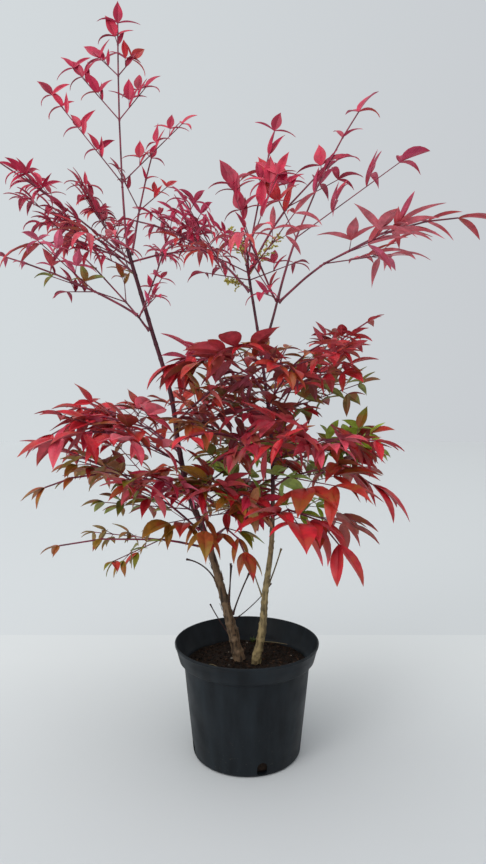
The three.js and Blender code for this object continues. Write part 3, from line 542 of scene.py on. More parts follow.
def mottled(name, tones, roughness, specular, pattern, reach, grain, relief):
    """A material of three tones: its base, and a dark and a light one in a pattern."""
    finish = Finish(name, tones[0], roughness, specular)
    mottle = finish.ranged(finish.noise(*pattern), *reach)
    finish.shade(Base_Color=finish.blend(mottle, *tones[1:]))
    finish.bump(finish.noise(*grain), *relief)
    return finish.material


def twig_finish():
    return mottled("twig_bark", ("#6a1f35", "#571a2d", "#8a2a42"), 0.5, 0.5, (60, 3), (0.35, 0.65),
                   (500, 3), (0.3, 0.0004))


def stalk_finish():
    return mottled("stalk_bark", ("#4f1a2b", "#3d1624", "#6e2438"), 0.48, 0.5, (40, 4, (4, 4, 1)),
                   (0.35, 0.65), (400, 3), (0.3, 0.0005))


def soil_finish():
    return mottled("soil", ("#23170e", "#0e0906", "#2c1d12"), 0.95, 0.2, (260, 6), (0.35, 0.7),
                   (700, 4), (0.8, 0.0012))


def plain_finish(name, colour, roughness):
    tones = (colour, shifted(colour, 0.88), shifted(colour, 1.12))
    return mottled(name, tones, roughness, 0.3, (200, 4), (0.35, 0.65), (600, 3), (0.3, 0.0005))


def cane_finish(name, foot_dark, foot_light, top_dark, top_light, change_low, change_high):
    """Bark with streaks along the cane, in other colours above than below."""
    finish = Finish(name, foot_dark, 0.72, specular=0.35)
    streak = finish.ranged(finish.noise(420, 6, (1, 1, 0.08)), 0.38, 0.64)
    patch = finish.ranged(finish.noise(150, 4, (1, 1, 0.6)), 0.46, 0.58, 0, 0.75)
    foot = finish.blend(patch, finish.blend(streak, foot_dark, foot_light), shifted(foot_light, 1.15))
    top = finish.blend(streak, top_dark, top_light)
    finish.shade(Base_Color=finish.blend(finish.along("Z", change_low, change_high), foot, top))
    finish.bump(streak, 0.5, 0.0008)
    return finish.material


def pot_finish():
    """Black plastic with faint upright streaks and splashes of soil near the foot."""
    finish = Finish("pot_plastic", "#14181c", 0.5, specular=0.18)
    streak = finish.ranged(finish.noise(60, 6, (1, 1, 0.2)), 0.35, 0.7)
    plastic = finish.blend(streak, "#101418", "#1d2328")
    splash = finish.ranged(finish.noise(420, 3), 0.66, 0.72, 0, 0.5)
    speckled = finish.blend(splash, plastic, "#4c4840")
    colour = finish.blend(finish.along("Z", 0.075, 0.01), plastic, speckled)
    finish.shade(Base_Color=colour, Roughness=finish.ranged(finish.noise(35, 5), 0.3, 0.7, 0.4, 0.6))
    finish.bump(finish.noise(160, 4), 0.12, 0.0005)
    return finish.material


# ---- Canes ----

CANE_SIDES = 22
CANE_STEP = 1.6
CANE_CURVE_STEPS = 60
CANE_SAMPLES = 300
CANE_REACH = 4  # the most above or below a sample of a cane that is looked at
CANE_MARGIN = 0.3
CANE_SHRINK = 0.96  # leaves room for the scars and ridges inside the solid
FIRST_SCAR = 9  # above the growing medium
LAST_SCAR = 8  # below the tip, at least
LOW_SCAR_GAP = 12
HIGH_SCAR_GAP = 27
SCAR_GAP_SPREAD = 0.35
LOW_SCARS = 110  # how far above the growing medium the scars are close together
SCAR_SWELL = 0.14
SCAR_WIDTH = 1.9
RIDGE_DEPTH = 0.13  # as a share of the radius
RIDGE_SIZE = 2.6
RIDGE_FADE = 260
LEAST_RIDGE = 0.12
STUB_SHRINK = 0.85
STUB_DEPTH = 1.5
STUB_STEPS = 12
STUB_FOOT = 1.1
STUB_KNOB = 0.7
STUB_SHARPNESS = 14  # how quickly the swelling at a stub's foot and cut ends
PEELS = 14
PEEL_START = 134
PEEL_STEP = 9
PEEL_SHIFT = 4
PEEL_ANGLE = (-95, 150)  # middle and spread, as in the next three
PEEL_LENGTH = (13, 5)
PEEL_WIDTH = (30, 12)
PEEL_LIFT = (1.5, 1.1)
PEEL_ROWS = 9
PEEL_COLUMNS = 4
PEEL_THICKNESS = 0.35  # also the least gap between a peel and the cane


def cane_limb(cane):
    """A cane that tapers towards its tip and flares at the growing medium."""

    def radius(share):
        rise = max(limb.at(share)[0].z - SOIL_TOP, 0)
        flare = 1 + cane.flare * exp(-rise / FLARE_HEIGHT)
        return flare * (cane.tip + (cane.foot - cane.tip) * exp(-share / CANE_TAPER))

    limb = Limb(smooth_path([Vector((x, y, z)) for z, x, y in cane.stations], CANE_CURVE_STEPS), radius)
    return limb


def cane_scars(limb, seed):
    """Shares of the length where old leaves have left a ring, closer together near the foot."""
    scars = []
    height = SOIL_TOP + FIRST_SCAR
    while height < limb.points[-1].z - LAST_SCAR:
        gap = LOW_SCAR_GAP if height < SOIL_TOP + LOW_SCARS else HIGH_SCAR_GAP
        scars.append(limb.share_at_height(height))
        height += gap * (1 + SCAR_GAP_SPREAD * scatter(seed, len(scars) - 1))
    return scars


def bark_radius(limb, share, scars):
    nearest = min(abs(share - scar) for scar in scars) * limb.length
    swell = 1 + SCAR_SWELL * exp(-(nearest / SCAR_WIDTH) ** 2)
    return limb.radius(share) * swell * CANE_SHRINK


def make_cane(name, limb, barks, seed):
    """A cane with rings at the leaf scars, fissures that fade towards the top, and cut stalks."""
    scars = cane_scars(limb, seed)
    first = limb.share_at_height(SOIL_TOP - 3)
    steps = int(limb.length * (1 - first) / CANE_STEP)
    shares = [mix(first, 1.0, step / steps) for step in range(steps + 1)]
    points = [limb.at(share)[0] for share in shares]
    radii = [bark_radius(limb, share, scars) for share in shares]

    def relief(step, angle):
        z = points[step].z
        fade = max(LEAST_RIDGE, 1 - (z - SOIL_TOP) / RIDGE_FADE)
        spot = Vector((cos(angle) * RIDGE_SIZE, sin(angle) * RIDGE_SIZE, z * 0.1 + seed * 9))
        ridges = noise.noise(spot) + 0.6 * noise.noise(spot * 2.3)
        return radii[step] * RIDGE_DEPTH * fade * ridges

    batch = Batch()
    tube(batch, points, radii, CANE_SIDES, 0, relief)
    for stub in STUBS:
        if stub.on == name:
            add_stub(batch, limb, stub)
    batch.piece(name + "_bark", barks, name + "_bark", [name])


def add_stub(batch, limb, stub):
    """A cut leaf stalk with a swollen foot and a knob at the cut."""
    start, inward = start_on(limb, stub, stub.radius)
    length = stub.length
    path = bent_path(start + inward * STUB_DEPTH, stub, length, length, STUB_STEPS)
    radii = []
    for step in range(STUB_STEPS + 1):
        share = step / STUB_STEPS
        foot = 1 + STUB_FOOT * exp(-share * STUB_SHARPNESS)
        knob = 1 + STUB_KNOB * exp(-((1 - share) * STUB_SHARPNESS) ** 2)
        radii.append(stub.radius * STUB_SHRINK * foot * knob)
    tube(batch, path, radii, 8, 1)


def add_peel(batch, limb, height, angle, length, width, lift, seed):
    """A strip of old bark that stands off the cane and narrows towards its upper end."""
    vertices = []
    for row in range(PEEL_ROWS + 1):
        up = row / PEEL_ROWS
        share = limb.share_at_height(height + length * up)
        point, axis = limb.at(share)
        inner = limb.radius(share) * 1.02 + lift * up ** 2 + PEEL_THICKNESS
        spread = width * (1 - 0.75 * up ** 2)
        middle = angle + 8 * scatter(seed, row) * up
        turns = [middle + spread * (column / PEEL_COLUMNS - 0.5) for column in range(PEEL_COLUMNS + 1)]
        outs = [across(direction(turn, 0), axis) for turn in turns]
        vertices += [point + out * (inner + PEEL_THICKNESS) for out in outs]
        vertices += [point + out * inner for out in reversed(outs)]
    batch.add(vertices, ring_faces(PEEL_ROWS + 1, 2 * (PEEL_COLUMNS + 1)), 0)


def make_peels(limb):
    batch = Batch()
    for index in range(PEELS):
        height = PEEL_START + PEEL_STEP * index + PEEL_SHIFT * scatter(5, index)
        measures = [middle + spread * scatter(seed, index) for seed, (middle, spread)
                    in enumerate((PEEL_ANGLE, PEEL_LENGTH, PEEL_WIDTH, PEEL_LIFT), 6)]
        add_peel(batch, limb, height, *measures, index)
    batch.piece("left_cane_peeling_bark", [plain_finish("papery_bark", "#614c39", 0.85)], "left_cane_bark")


cane_samples = []  # points along the canes, and the radius there


def touches_cane(points):
    """True if one of the points lies in a cane, or too near it."""
    return any(abs(point.z - centre.z) < CANE_REACH and (point - centre).length < radius + CANE_MARGIN
               for centre, radius in cane_samples for point in points)


# ---- Leaflets and twigs ----

# Along a leaflet, in shares of its length.
LEAFLET_SHARES = [0.0, 0.05, 0.14, 0.26, 0.4, 0.55, 0.7, 0.83, 0.93]
# Across a leaflet, in half widths, over the upper side and back under the lower one.
LEAFLET_ACROSS = [-1, -0.5, 0, 0.5, 1, 0.5, 0, -0.5]
UPPER_FACES = 4
MIDRIB_COLUMN = 2
FOLD = 0.3  # rise of the edges over the midrib, in half widths
BULGE = 0.1  # each half arches by this, in half widths
LEAF_THICKNESS = 0.35
MIDRIB = 1.6  # its thickness, in those of the leaf
STIFFNESS = 0.8  # the share of its bend that an upright leaflet lacks
DROOP_POWER = 1.4
WIDTH_SPREAD = 0.15
DROOP_SPREAD = 0.35
LEAST_WIDTH = 0.03
TWIST = 26  # degrees over a leaflet's length, at most
FOOT_TAPER = 0.8
TIP_TAPER = 1.35
TIP_TAPER_SPREAD = 0.35


def blade_width(share, tip):
    """Width at a share of the length, 1 at the widest place. A larger tip is more drawn out."""
    peak = FOOT_TAPER / (FOOT_TAPER + tip)
    return share ** FOOT_TAPER * (1 - share) ** tip / (peak ** FOOT_TAPER * (1 - peak) ** tip)


@cache
def leaflet_faces():
    """The faces round a leaflet, one at its foot, and a fan at its tip."""
    size = len(LEAFLET_ACROSS)
    last = size * (len(LEAFLET_SHARES) - 1)
    fan = [[last + i, last + (i + 1) % size, last + size] for i in range(size)]
    return ring_faces(len(LEAFLET_SHARES), size)[:-1] + fan


class Mass:
    """One compound leaf: its leaflets and its twigs."""

    def __init__(self, leaf):
        self.leaf = leaf
        self.leaflets = Batch()
        self.twigs = Batch()

    def tint(self, seed, spray):
        """The number of a leaflet's tint, which is most often its spray's."""
        number = chance(spray, 7) if chance(seed, 8) < ODD_LEAFLET else chance(seed, 10)
        total = 0
        for index, (_, share) in enumerate(self.leaf.palette.tints):
            total += share
            if number <= total:
                return index
        return 0

    def leaflet(self, root, along, normal, length, width, seed, spray):
        """A closed thin leaflet, folded at its midrib and bent down towards its tip."""
        half_width = self.leaf.slender * width * length * (1 + WIDTH_SPREAD * scatter(seed, 11))
        twist = TWIST * scatter(seed, 12)
        taper = TIP_TAPER + TIP_TAPER_SPREAD * scatter(seed, 13)
        bend = self.leaf.droop * (1 - STIFFNESS * max(0, along.z)) * (1 + DROOP_SPREAD * scatter(seed, 14))
        normal = across(mix(normal, UP, self.leaf.level * (1 - along.z ** 2)), along)
        point = root
        vertices = []
        previous = 0
        for share in LEAFLET_SHARES:
            step = share - previous
            point = point + along * step * length
            down = -UP - along * along.dot(-UP)
            if down.length > 0.15:
                down.normalize()
                fall = bend * (share ** DROOP_POWER - previous ** DROOP_POWER)
                turn = radians(fall)
                normal = turned(normal, along.cross(down), fall)
                along = (along * cos(turn) + down * sin(turn)).normalized()
            normal = across(turned(normal, along, twist * step), along)
            side = along.cross(normal)
            width = half_width * max(blade_width(max(share, 0.004), taper), LEAST_WIDTH)
            for column, place in enumerate(LEAFLET_ACROSS):
                rise = FOLD * abs(place) * width + BULGE * width * (abs(place) == 0.5)
                if column > UPPER_FACES:
                    rise -= LEAF_THICKNESS * (MIDRIB if place == 0 else 1)
                vertices.append(point + side * place * width + normal * rise)
            previous = share
        vertices.append(point + along * (1 - previous) * length)
        size = len(LEAFLET_ACROSS)
        if touches_cane([*vertices[size + MIDRIB_COLUMN::size], vertices[-1]]):
            return
        upper = self.tint(seed, spray) * 2
        ring_slots = [upper] * UPPER_FACES + [upper + 1] * (size - UPPER_FACES)
        slots = ring_slots * (len(LEAFLET_SHARES) - 1) + [upper] + ring_slots
        self.leaflets.add(vertices, leaflet_faces(), slots)

    def twig(self, points, radius, tip_radius):
        """A thin limb, swollen at its joints."""
        path, radii = [], []
        last = len(points) - 1
        for step, point in enumerate(points):
            here = mix(radius, tip_radius, step / last)
            if step > 0:
                before = points[step - 1]
                length = (point - before).length
                clear = min(0.3, SWELL_LENGTH / length)
                path += [mix(before, point, clear), mix(before, point, 1 - clear)]
                radii += [mix(radius, tip_radius, (step - 0.9) / last), here]
            path.append(point)
            radii.append(here * JOINT_SWELL if step < last else here)
        tube(self.twigs, path, radii, 6)

    def length(self, seed, share):
        return self.leaf.leaflet * share * (1 + LENGTH_SPREAD * scatter(seed, 5))

    def shoot(self, points, alongs, joints, face, radius, seed, spray):
        """A twig, a leaflet at its end, and two sides at each joint."""
        self.twig(points, radius, max(radius * TWIG_TAPER, LEAST_TWIG))
        end_seed = child_seed(seed, 9)
        self.leaflet(points[-1], alongs[-1], face, self.length(end_seed, END_LEAFLET), self.leaf.broad,
                     end_seed, spray)
        for index, joint in enumerate(joints):
            for side in (1, -1):
                self.side(joint, face, radius, side, child_seed(seed, index * 2 + (side < 0)), spray)

    def side(self, joint, face, radius, side, seed, spray):
        """One side of a joint: a single leaflet, or a twig."""
        order = joint.order
        angle = side * (joint.angle + ANGLE_SPREAD * scatter(seed, 1))
        lift = LIFT_SPREAD * scatter(seed, 2)
        normal = across(face, joint.along)
        out = turned(joint.along, normal, angle)
        out = turned(out, out.cross(normal).normalized(), lift)
        if order < 0:
            out = leant(out, -UP, self.leaf.sag)
        elif order == 0:
            out = leant(out, UP, self.leaf.stand)
        rolled = turned(across(face, out), out, self.leaf.roll * scatter(seed, 4))
        if order < 0 or order == 0 and side < 0 and self.leaf.lone:
            self.leaflet(joint.point, out, rolled, self.length(seed, self.leaf.claw), 1, seed, spray)
            return
        reach = self.leaf.reach * (1 - (self.leaf.lop if side < 0 else 0))
        length = joint.left * joint.share * reach * (1 + LENGTH_SPREAD * scatter(seed, 3))
        if order == 0:
            length = SHORT_STALK * self.leaf.leaflet
        orders = self.leaf.twigs[order]
        joints = []
        distance = 0
        for index, step in enumerate(internodes(length, len(orders) + 1, TWIG_INTERNODE_RATIO)[:-1]):
            distance += step
            joints.append(Values(point=joint.point + out * distance, along=out, left=length - distance,
                                 order=orders[index], angle=self.leaf.angle, share=SIDE_SHARES[index]))
        end = joint.point + out * length
        joints.append(Values(point=end, along=out, left=0, order=-1, angle=self.leaf.trio, share=0))
        self.shoot([joint.point, end], [out, out], joints, rolled,
                   max(radius * TWIG_RATIO, LEAST_TWIG), seed, spray or seed)


def blade_face(leaf):
    lean = radians(leaf.lean)
    return UP * cos(lean) + direction(leaf.face, 0) * sin(lean)


def add_stalk(batch, carrier, spec, length, whole, radius, tip_radius):
    """A bare stalk with a clasping foot. It gives back the stalk's path."""
    foot, inward = start_on(carrier, spec, radius)
    path = bent_path(foot, spec, length, whole, 3)
    line = smooth_path([foot + inward * FOOT_DEPTH, *path[1:]], 5)
    limb = Limb(line)
    clasps = [1 + CLASP_SWELL * exp(-(limb.length * share / CLASP_LENGTH) ** 2) for share in limb.shares]
    radii = [mix(radius, tip_radius, share) * clasp for share, clasp in zip(limb.shares, clasps)]
    tube(batch, line, radii, 8)
    return path


def make_shared_stalk(name, tip, spec, carrier, bark):
    batch = Batch()
    path = add_stalk(batch, carrier, spec, spec.length, spec.length, spec.radius, tip)
    batch.piece(name + "_bark", [bark], "leaf_stalks", [name])
    return Limb(smooth_path(path, 20), lambda share: mix(spec.radius, tip, share))


def grow_leaf(leaf, carrier, bark):
    """A compound leaf's stalk and blade, laid out as in the solids."""
    mass = Mass(leaf)
    whole = leaf.bare + leaf.blade
    if leaf.bare:
        distance = leaf.bare - STEM_LENGTH
        stem = STEM_LENGTH
        root = start = add_stalk(mass.twigs, carrier, leaf, distance, whole, STALK_RADIUS, AXIS_RADIUS)[-1]
    else:
        distance = 0
        stem = leaf.stem
        start, inward = start_on(carrier, leaf, AXIS_RADIUS)
        root = start + inward * FOOT_DEPTH
    points = [start]
    alongs = []
    for step in [stem, *internodes(leaf.blade, len(leaf.sides))]:
        alongs.append(bent_direction(leaf, (distance + step / 2) / whole))
        points.append(points[-1] + alongs[-1] * step)
        distance += step
    alongs.append(alongs[-1])
    joints = []
    for index, order in enumerate([*leaf.sides, -1]):
        point = points[index + 1]
        angle = leaf.angle if index < len(leaf.sides) else leaf.trio
        joints.append(Values(point=point, along=alongs[index + 1], left=(point - points[-1]).length,
                             order=order, angle=angle, share=SIDE_SHARES[index]))
    mass.shoot([root, *points[1:]], alongs, joints, blade_face(leaf), AXIS_RADIUS, leaf.seed, 0)
    name, palette = leaf.name, leaf.palette
    mass.leaflets.piece(name + "_leaflets", tint_materials(palette), palette.slot, [name + "_leaf"])
    mass.twigs.piece(name + "_twigs", [bark], "leaf_stalks", [name + "_stalk"] if leaf.bare else [])


# ---- Pot and growing medium ----

POT_SIDES = 144
POT_WALL = 1.7  # thinner than in the solids, to stay inside them
DISH = 1.2  # how far the middle of the underside is raised
SOIL_SIDES = 150
SOIL_RINGS = 46
SOIL_ROOM = 2.2  # between the growing medium and the outside of the pot
SOIL_DEPTH = 1.6  # how far the crumbly surface starts below the solid's
SOIL_ROUGHNESS = 0.8
SOIL_NOISE = [(1.5, 0.05, (0, 0, 0)), (1.0, 0.17, (9, 0, 0)), (0.6, 0.5, (0, 9, 0))]  # height, scale, shift
CRUMBS = 1500
LEAST_CRUMB = 0.7
CRUMB_SPREAD = 1.5
CRUMB_FLATNESS = 0.75
BARK_STRETCH = 2.2
BARK_CRUMB = 0.86  # a crumb whose number is above this is a bit of bark
PALE_CRUMB = 0.985


def round_point(radius, angle, z):
    return Vector((radius * cos(angle), radius * sin(angle), z))


def ring_angles(sides):
    return [2 * pi * i / sides for i in range(sides)]


def add_round_body(batch, bottom, rings, top):
    """A closed body round the upright axis, with rings of points between two heights on it."""
    sides = len(rings[0])
    vertices = [Vector((0, 0, bottom))]
    for ring in rings:
        vertices += ring
    vertices.append(Vector((0, 0, top)))
    faces = []
    upper = 1 + (len(rings) - 1) * sides
    for i in range(sides):
        j = (i + 1) % sides
        faces.append([0, 1 + j, 1 + i])
        for low in range(1, upper, sides):
            high = low + sides
            faces.append([low + i, low + j, high + j, high + i])
        faces.append([upper + i, upper + j, len(vertices) - 1])
    batch.add(vertices, faces, 0)


def arc(centre, radius, start, end, steps):
    """Points (radius, z) on a round, from one angle to another."""
    angles = [radians(mix(start, end, step / steps)) for step in range(steps + 1)]
    return [(centre[0] + radius * cos(angle), centre[1] + radius * sin(angle)) for angle in angles]


def pot_outline():
    """Points (radius, z) from the middle of the underside, up outside and down inside."""
    height, rim, base, edge = POT.height, POT.rim_radius, POT.base_radius, POT.edge_round
    band, neck_radius = POT.band_foot_radius, POT.neck_radius
    band_foot = height - POT.band_height
    neck = band_foot - POT.neck_drop
    lip = POT_WALL / 2 + 0.1
    outside = [(0, DISH), (base - 16, DISH), (base - 13, 0)]
    outside += arc((base - edge, edge), edge, -90, -4, 6)
    outside += [(mix(base, neck_radius, share), mix(edge, neck, share)) for share in (0.3, 0.65)]
    outside.append((neck_radius - 0.4, neck - 2))
    outside += arc((neck_radius + 2.6, neck), 3, 180, 120, 3)
    outside += [(band - 1.4, band_foot - 1.6), (band, band_foot),
                ((band + rim) / 2, (band_foot + height) / 2), (rim - 1.2, height - 4.2),
                (rim - 0.2, height - 3.2)]
    outside += arc((rim - lip, height - lip - 0.1), lip, 0, 180, 6)
    inside = [(rim - 1.4, height - 5), (band, band_foot), (neck_radius + 1.2, neck + 1.4),
              (neck_radius - 0.6, neck - 1), (base, edge + POT.floor), (base - edge, POT.floor)]
    return outside + [(radius - POT_WALL, z) for radius, z in inside] + [(0, POT.floor)]


def drain_cutter(index):
    """A rounded block where a drain opening goes through the pot's edge."""
    depth = POT.edge_round * 2 + POT.wall
    angle = radians(DRAIN.first_angle + 360 / DRAIN.count * index)
    half, low, high = DRAIN.width / 2, DRAIN.sill, DRAIN.sill + DRAIN.height
    outline = [(-half, low + 2), (-half + 2, low), (half - 2, low), (half, low + 2)]
    outline += arc((0, high - half), half, 0, 180, 9)
    turn = Matrix.Rotation(angle, 3, "Z") * MM
    vertices = [turn @ Vector((POT.base_radius + out, y, z)) for out in (-depth / 2, depth / 2)
                for y, z in outline]
    return place_object("drain_cutter", new_mesh("drain_cutter", vertices, ring_faces(2, len(outline))))


def make_pot():
    (_, bottom), *outline, (_, top) = pot_outline()
    rings = [[round_point(radius, angle, z) for angle in ring_angles(POT_SIDES)] for radius, z in outline]
    batch = Batch()
    add_round_body(batch, bottom, rings, top)
    pot = batch.piece("nursery_pot", [pot_finish()], "pot_plastic", ["pot"], sharp=35)
    cutters = [drain_cutter(index) for index in range(DRAIN.count)]
    for cutter in cutters:
        cut = pot.modifiers.new("drain", "BOOLEAN")
        cut.operation = "DIFFERENCE"
        cut.object = cutter
    bpy.context.view_layer.update()
    evaluated = pot.evaluated_get(bpy.context.evaluated_depsgraph_get())
    pot.data = bpy.data.meshes.new_from_object(evaluated)
    pot.modifiers.clear()
    for cutter in cutters:
        bpy.data.objects.remove(cutter)


def soil_height(radius, angle, edge):
    """The crumbly surface: nearly level, lower at the wall."""
    spot = round_point(radius, angle, 0)
    fall = SOIL_EDGE_FALL * (radius / edge) ** 4
    rough = sum(height * noise.noise(spot * scale + Vector(shift)) for height, scale, shift in SOIL_NOISE)
    return SOIL_TOP - SOIL_DEPTH - fall + rough * SOIL_ROUGHNESS


def make_soil():
    base, low = POT.base_radius - SOIL_ROOM, POT.floor + 0.5
    neck = POT.height - POT.band_height - POT.neck_drop
    slope = (POT.neck_radius - POT.base_radius) / (neck - POT.edge_round)
    foot = POT.edge_round + POT.floor
    edge = base + slope * (SOIL_TOP - 2 - foot)
    angles = ring_angles(SOIL_SIDES)
    rings = [[round_point(radius, angle, z) for angle in angles]
             for radius, z in ((base - 5, low), (base, foot + 0.5))]
    for ring in range(SOIL_RINGS):
        radius = edge * (1 - ring / SOIL_RINGS)
        rings.append([round_point(radius, angle, soil_height(radius, angle, edge)) for angle in angles])
    batch = Batch()
    add_round_body(batch, low, rings, soil_height(0, 0, edge))
    soil = soil_finish()
    batch.piece("compost", [soil], "growing_medium", ["growing_medium"], sharp=180)
    add_crumbs(edge, soil)


# The corners and faces of a rough crumb.
CRUMB = [(1, 0, 0), (-1, 0, 0), (0, 1, 0), (0, -1, 0), (0, 0, 1), (0, 0, -1)]
CRUMB_FACES = [[0, 2, 4], [2, 1, 4], [1, 3, 4], [3, 0, 4], [2, 0, 5], [1, 2, 5], [3, 1, 5], [0, 3, 5]]


def add_crumbs(edge, soil):
    """Crumbs, bits of bark and a few pale specks on the surface."""
    batch = Batch()
    for index in range(CRUMBS):
        radius = (edge - 3) * sqrt(chance(71, index))
        angle = pi * scatter(72, index)
        size = LEAST_CRUMB + CRUMB_SPREAD * chance(73, index) ** 3
        kind = chance(74, index)
        slot = 2 if kind > PALE_CRUMB else 1 if kind > BARK_CRUMB else 0
        turn = Matrix.Rotation(pi * scatter(75, index), 3, "Z")
        tilt = Matrix.Rotation(pi * scatter(76, index), 3, "X")
        shape = Matrix.Diagonal((BARK_STRETCH if slot == 1 else 1, 1, CRUMB_FLATNESS))
        centre = round_point(radius, angle, soil_height(radius, angle, edge) + size * 0.25)
        vertices = []
        for number, corner in enumerate(CRUMB):
            grown = Vector(corner) * size * (1 + 0.35 * scatter(index, 80 + number))
            vertices.append(centre + turn @ (tilt @ (shape @ grown)))
        batch.add(vertices, CRUMB_FACES, slot)
    bark = plain_finish("bark_bits", "#3c281a", 0.9)
    pale = plain_finish("pale_specks", "#8d857a", 0.9)
    batch.piece("compost_crumbs", [soil, bark, pale], "growing_medium", sharp=60)


# Dead straws, each (x, y, heading, length), and the place of a small weed.
STRAWS = [(40, 58, -25, 38), (-44, -20, 150, 12), (30, -44, 70, 15)]
WEED = (9, 71)
WEED_LEAVES = 9


def make_litter():
    straws = Batch()
    for x, y, heading, length in STRAWS:
        middle = Vector((x, y, SOIL_TOP + 0.6))
        reach = direction(heading, 3) * length / 2
        tube(straws, [middle - reach, middle + UP * 0.8, middle + reach], [0.4, 0.5, 0.3], 6)
    straws.piece("straws", [plain_finish("straw", "#7d7052", 0.8)], "growing_medium")
    weed = Batch()
    for index in range(WEED_LEAVES):
        foot = Vector((*WEED, SOIL_TOP - 2)) + direction(40 * index, 0) * 1.5
        tip = foot + direction(40 * index + 20 * scatter(3, index), 50) * (6 + 2 * scatter(4, index))
        tube(weed, [foot, mix(foot, tip, 0.5) + UP * 0.6, tip], [0.6, 0.8, 0.2], 5)
    # The weed's dark green is partly its own colour and partly painted shade.
    weed.piece("weed", [plain_finish("weed_green_and_painted_shade", "#38481e", 0.6)], "growing_medium")


# ---- Flower buds ----

PANICLES = limb_rows(
    (RIGHT, 628, 205, 66, 46, 10, 0.7),
    (RIGHT, 622, -15, 58, 56, 16, 0.7),
    (RIGHT, 606, 150, 30, 34, 20, 0.6),
)
PANICLE_JOINTS = 9
BARE_JOINTS = 3
PANICLE_TIP = 0.35
SIDE_TWIGS = 3
SIDE_LENGTH = 13  # less 1 for each joint below it
SIDE_SLANT = 1.1
SIDE_BUDS = 4
BUD_SPACING = 0.22
BUD_SLANT = 0.9
BUD_LENGTH = 2
BUD_WIDTH = 0.62  # as a share of the length


def add_bud(batch, point, along, seed):
    size = BUD_LENGTH * (1 + 0.25 * scatter(seed, 3))
    aside = across(UP + Vector((0.1, 0.2, 0)), along)
    third = along.cross(aside)
    centre = point + along * size
    vertices = [centre + (aside * BUD_WIDTH * x + third * BUD_WIDTH * y + along * z) * size
                for x, y, z in CRUMB]
    batch.add(vertices, CRUMB_FACES, 1)


def make_panicle(number, spec, limbs, materials):
    """An upright panicle of closed buds on short side twigs."""
    start, inward = start_on(limbs[spec.on], spec, spec.radius)
    path = bent_path(start + inward, spec, spec.length, spec.length, PANICLE_JOINTS)
    radii = [mix(spec.radius, PANICLE_TIP, step / PANICLE_JOINTS) for step in range(PANICLE_JOINTS + 1)]
    batch = Batch()
    tube(batch, path, radii, 6)
    for step in range(BARE_JOINTS, PANICLE_JOINTS + 1):
        along = (path[step] - path[step - 1]).normalized()
        for turn in range(SIDE_TWIGS):
            seed = child_seed(number + 41, step * SIDE_TWIGS + turn)
            normal = across(direction(120 * turn + 50 * step, 0), along)
            out = (along + normal * SIDE_SLANT).normalized()
            end = path[step] + out * (SIDE_LENGTH - step) * (1 + 0.3 * scatter(seed, 1))
            tube(batch, [path[step], end], [PANICLE_TIP, 0.3], 4)
            for bud in range(SIDE_BUDS):
                spread = direction(90 * bud + 40 * scatter(seed, 2), 20 * scatter(seed, bud))
                foot = mix(path[step], end, 1 - BUD_SPACING * bud)
                add_bud(batch, foot, (out + spread * BUD_SLANT).normalized(), child_seed(seed, bud))
    batch.piece(f"flower_buds_{number}", materials, "leaves_olive")


# ---- Stage, in metres ----

WALL_LINE = 0.4175  # where the pale floor gives way to the cooler backdrop
FLOOR_REACH = 8.0


def stage_sheet(name, low, high, tones, axis, begin, end):
    """A flat sheet that goes from one tone to another along X or Y, in painted light and shade."""
    corners = [(-FLOOR_REACH, low), (FLOOR_REACH, low), (FLOOR_REACH, high), (-FLOOR_REACH, high)]
    mesh = new_mesh(name, [(x, y, 0) for x, y in corners], [[0, 1, 2, 3]])
    finish = Finish(name, tones[0], 0.8, specular=0.1)
    finish.shade(Base_Color=finish.blend(finish.along(axis, begin, end), *tones))
    mesh.materials.append(finish.material)
    place_object(name, mesh)


def add_lamp(name, kind, location, target, power):
    data = bpy.data.lights.new(name, kind)
    data.energy = power
    lamp = place_object(name, data)
    lamp.location = location
    lamp.rotation_euler = (Vector(target) - Vector(location)).to_track_quat("-Z", "Y").to_euler()
    return data


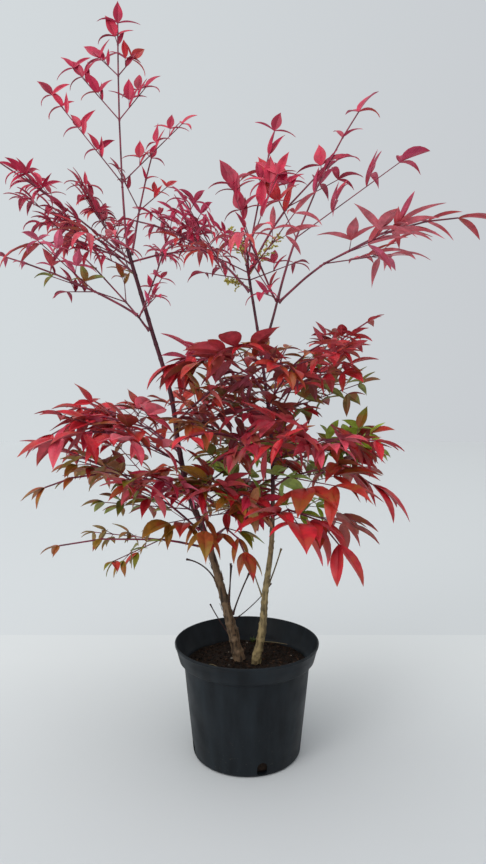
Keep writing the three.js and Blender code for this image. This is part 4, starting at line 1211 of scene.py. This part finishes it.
def make_stage():
    # The floor darkens towards the camera: painted shade.
    stage_sheet("floor", -FLOOR_REACH, WALL_LINE, ["#d4d6d6", "#c6c9cb"], "Y", 0.3, -0.3)
    # The backdrop is lighter on the left and darker on the right: painted light falling from the left.
    stage_sheet("backdrop", WALL_LINE, FLOOR_REACH, ["#d3d6d7", "#c8cacb"], "X", -3, 3)
    world = bpy.data.worlds.new("studio")
    world.use_nodes = True
    patterns = Patterns(world.node_tree, "Generated")
    tone = patterns.blend(patterns.along("X", -0.35, 0.35), "#d4dadd", "#c9cdd1")
    patterns.fill(world.node_tree.nodes["Background"], Color=tone)
    bpy.context.scene.world = world
    overhead = add_lamp("overhead", "SUN", (-0.2, -0.35, 1), (0, 0, 0), 1.3)
    overhead.angle = radians(70)
    overhead.color = (1, 0.99, 0.98)
    front_left = add_lamp("front_left", "AREA", (-3, -3.2, 2), (0, 0, 0.45), 68)
    front_left.shape = "DISK"
    front_left.size = 2.4
    bpy.context.scene.view_settings.view_transform = "Standard"


# Camera: millimetres and degrees. The lens gives the photograph's field of view.
CAMERA = Values(location=(-5.1, -820, 450.6), down=2.04, lens=26.08, sensor=36)


def make_camera():
    data = bpy.data.cameras.new("camera")
    data.lens = CAMERA.lens
    data.sensor_width = CAMERA.sensor
    data.clip_start = 0.01
    data.clip_end = 50
    camera = place_object("camera", data)
    camera.location = Vector(CAMERA.location) * MM
    camera.rotation_euler = (radians(90 - CAMERA.down), 0, 0)
    bpy.context.scene.camera = camera


# ---- The whole plant ----

make_camera()
make_stage()
make_pot()
make_soil()
make_litter()

stalk_bark = stalk_finish()
twig_bark = twig_finish()
cane_barks = [
    (cane_finish("left_cane_bark", "#2b2019", "#6d5842", "#3a1a26", "#5f2b38", 0.22, 0.36),
     cane_finish("right_cane_bark", "#4f432c", "#8f7d58", "#3e1c28", "#5e2c38", 0.25, 0.36)),
    (plain_finish("stub_bark", "#38221f", 0.7), plain_finish("straw_stub", "#786847", 0.7)),
]
limbs = {}
for number, (cane, *barks) in enumerate(zip(CANES, *cane_barks), 1):
    limb = cane_limb(cane)
    limbs[cane.name] = limb
    for step in range(CANE_SAMPLES):
        share = step / (CANE_SAMPLES - 1)
        cane_samples.append((limb.at(share)[0], limb.radius(share)))
    make_cane(cane.name, limb, barks, number)
make_peels(limbs[LEFT])
for name, tip, spec in SHARED_STALKS:
    limbs[name] = make_shared_stalk(name, tip, spec, limbs[spec.on], stalk_bark)
for row in LEAVES:
    grow_leaf(row, limbs[row.on], twig_bark)

bud_finishes = [plain_finish("bud_stalk", "#8d7a3c", 0.6), plain_finish("bud", "#a8a048", 0.55)]
for number, spec in enumerate(PANICLES, 1):
    make_panicle(number, spec, limbs, bud_finishes)
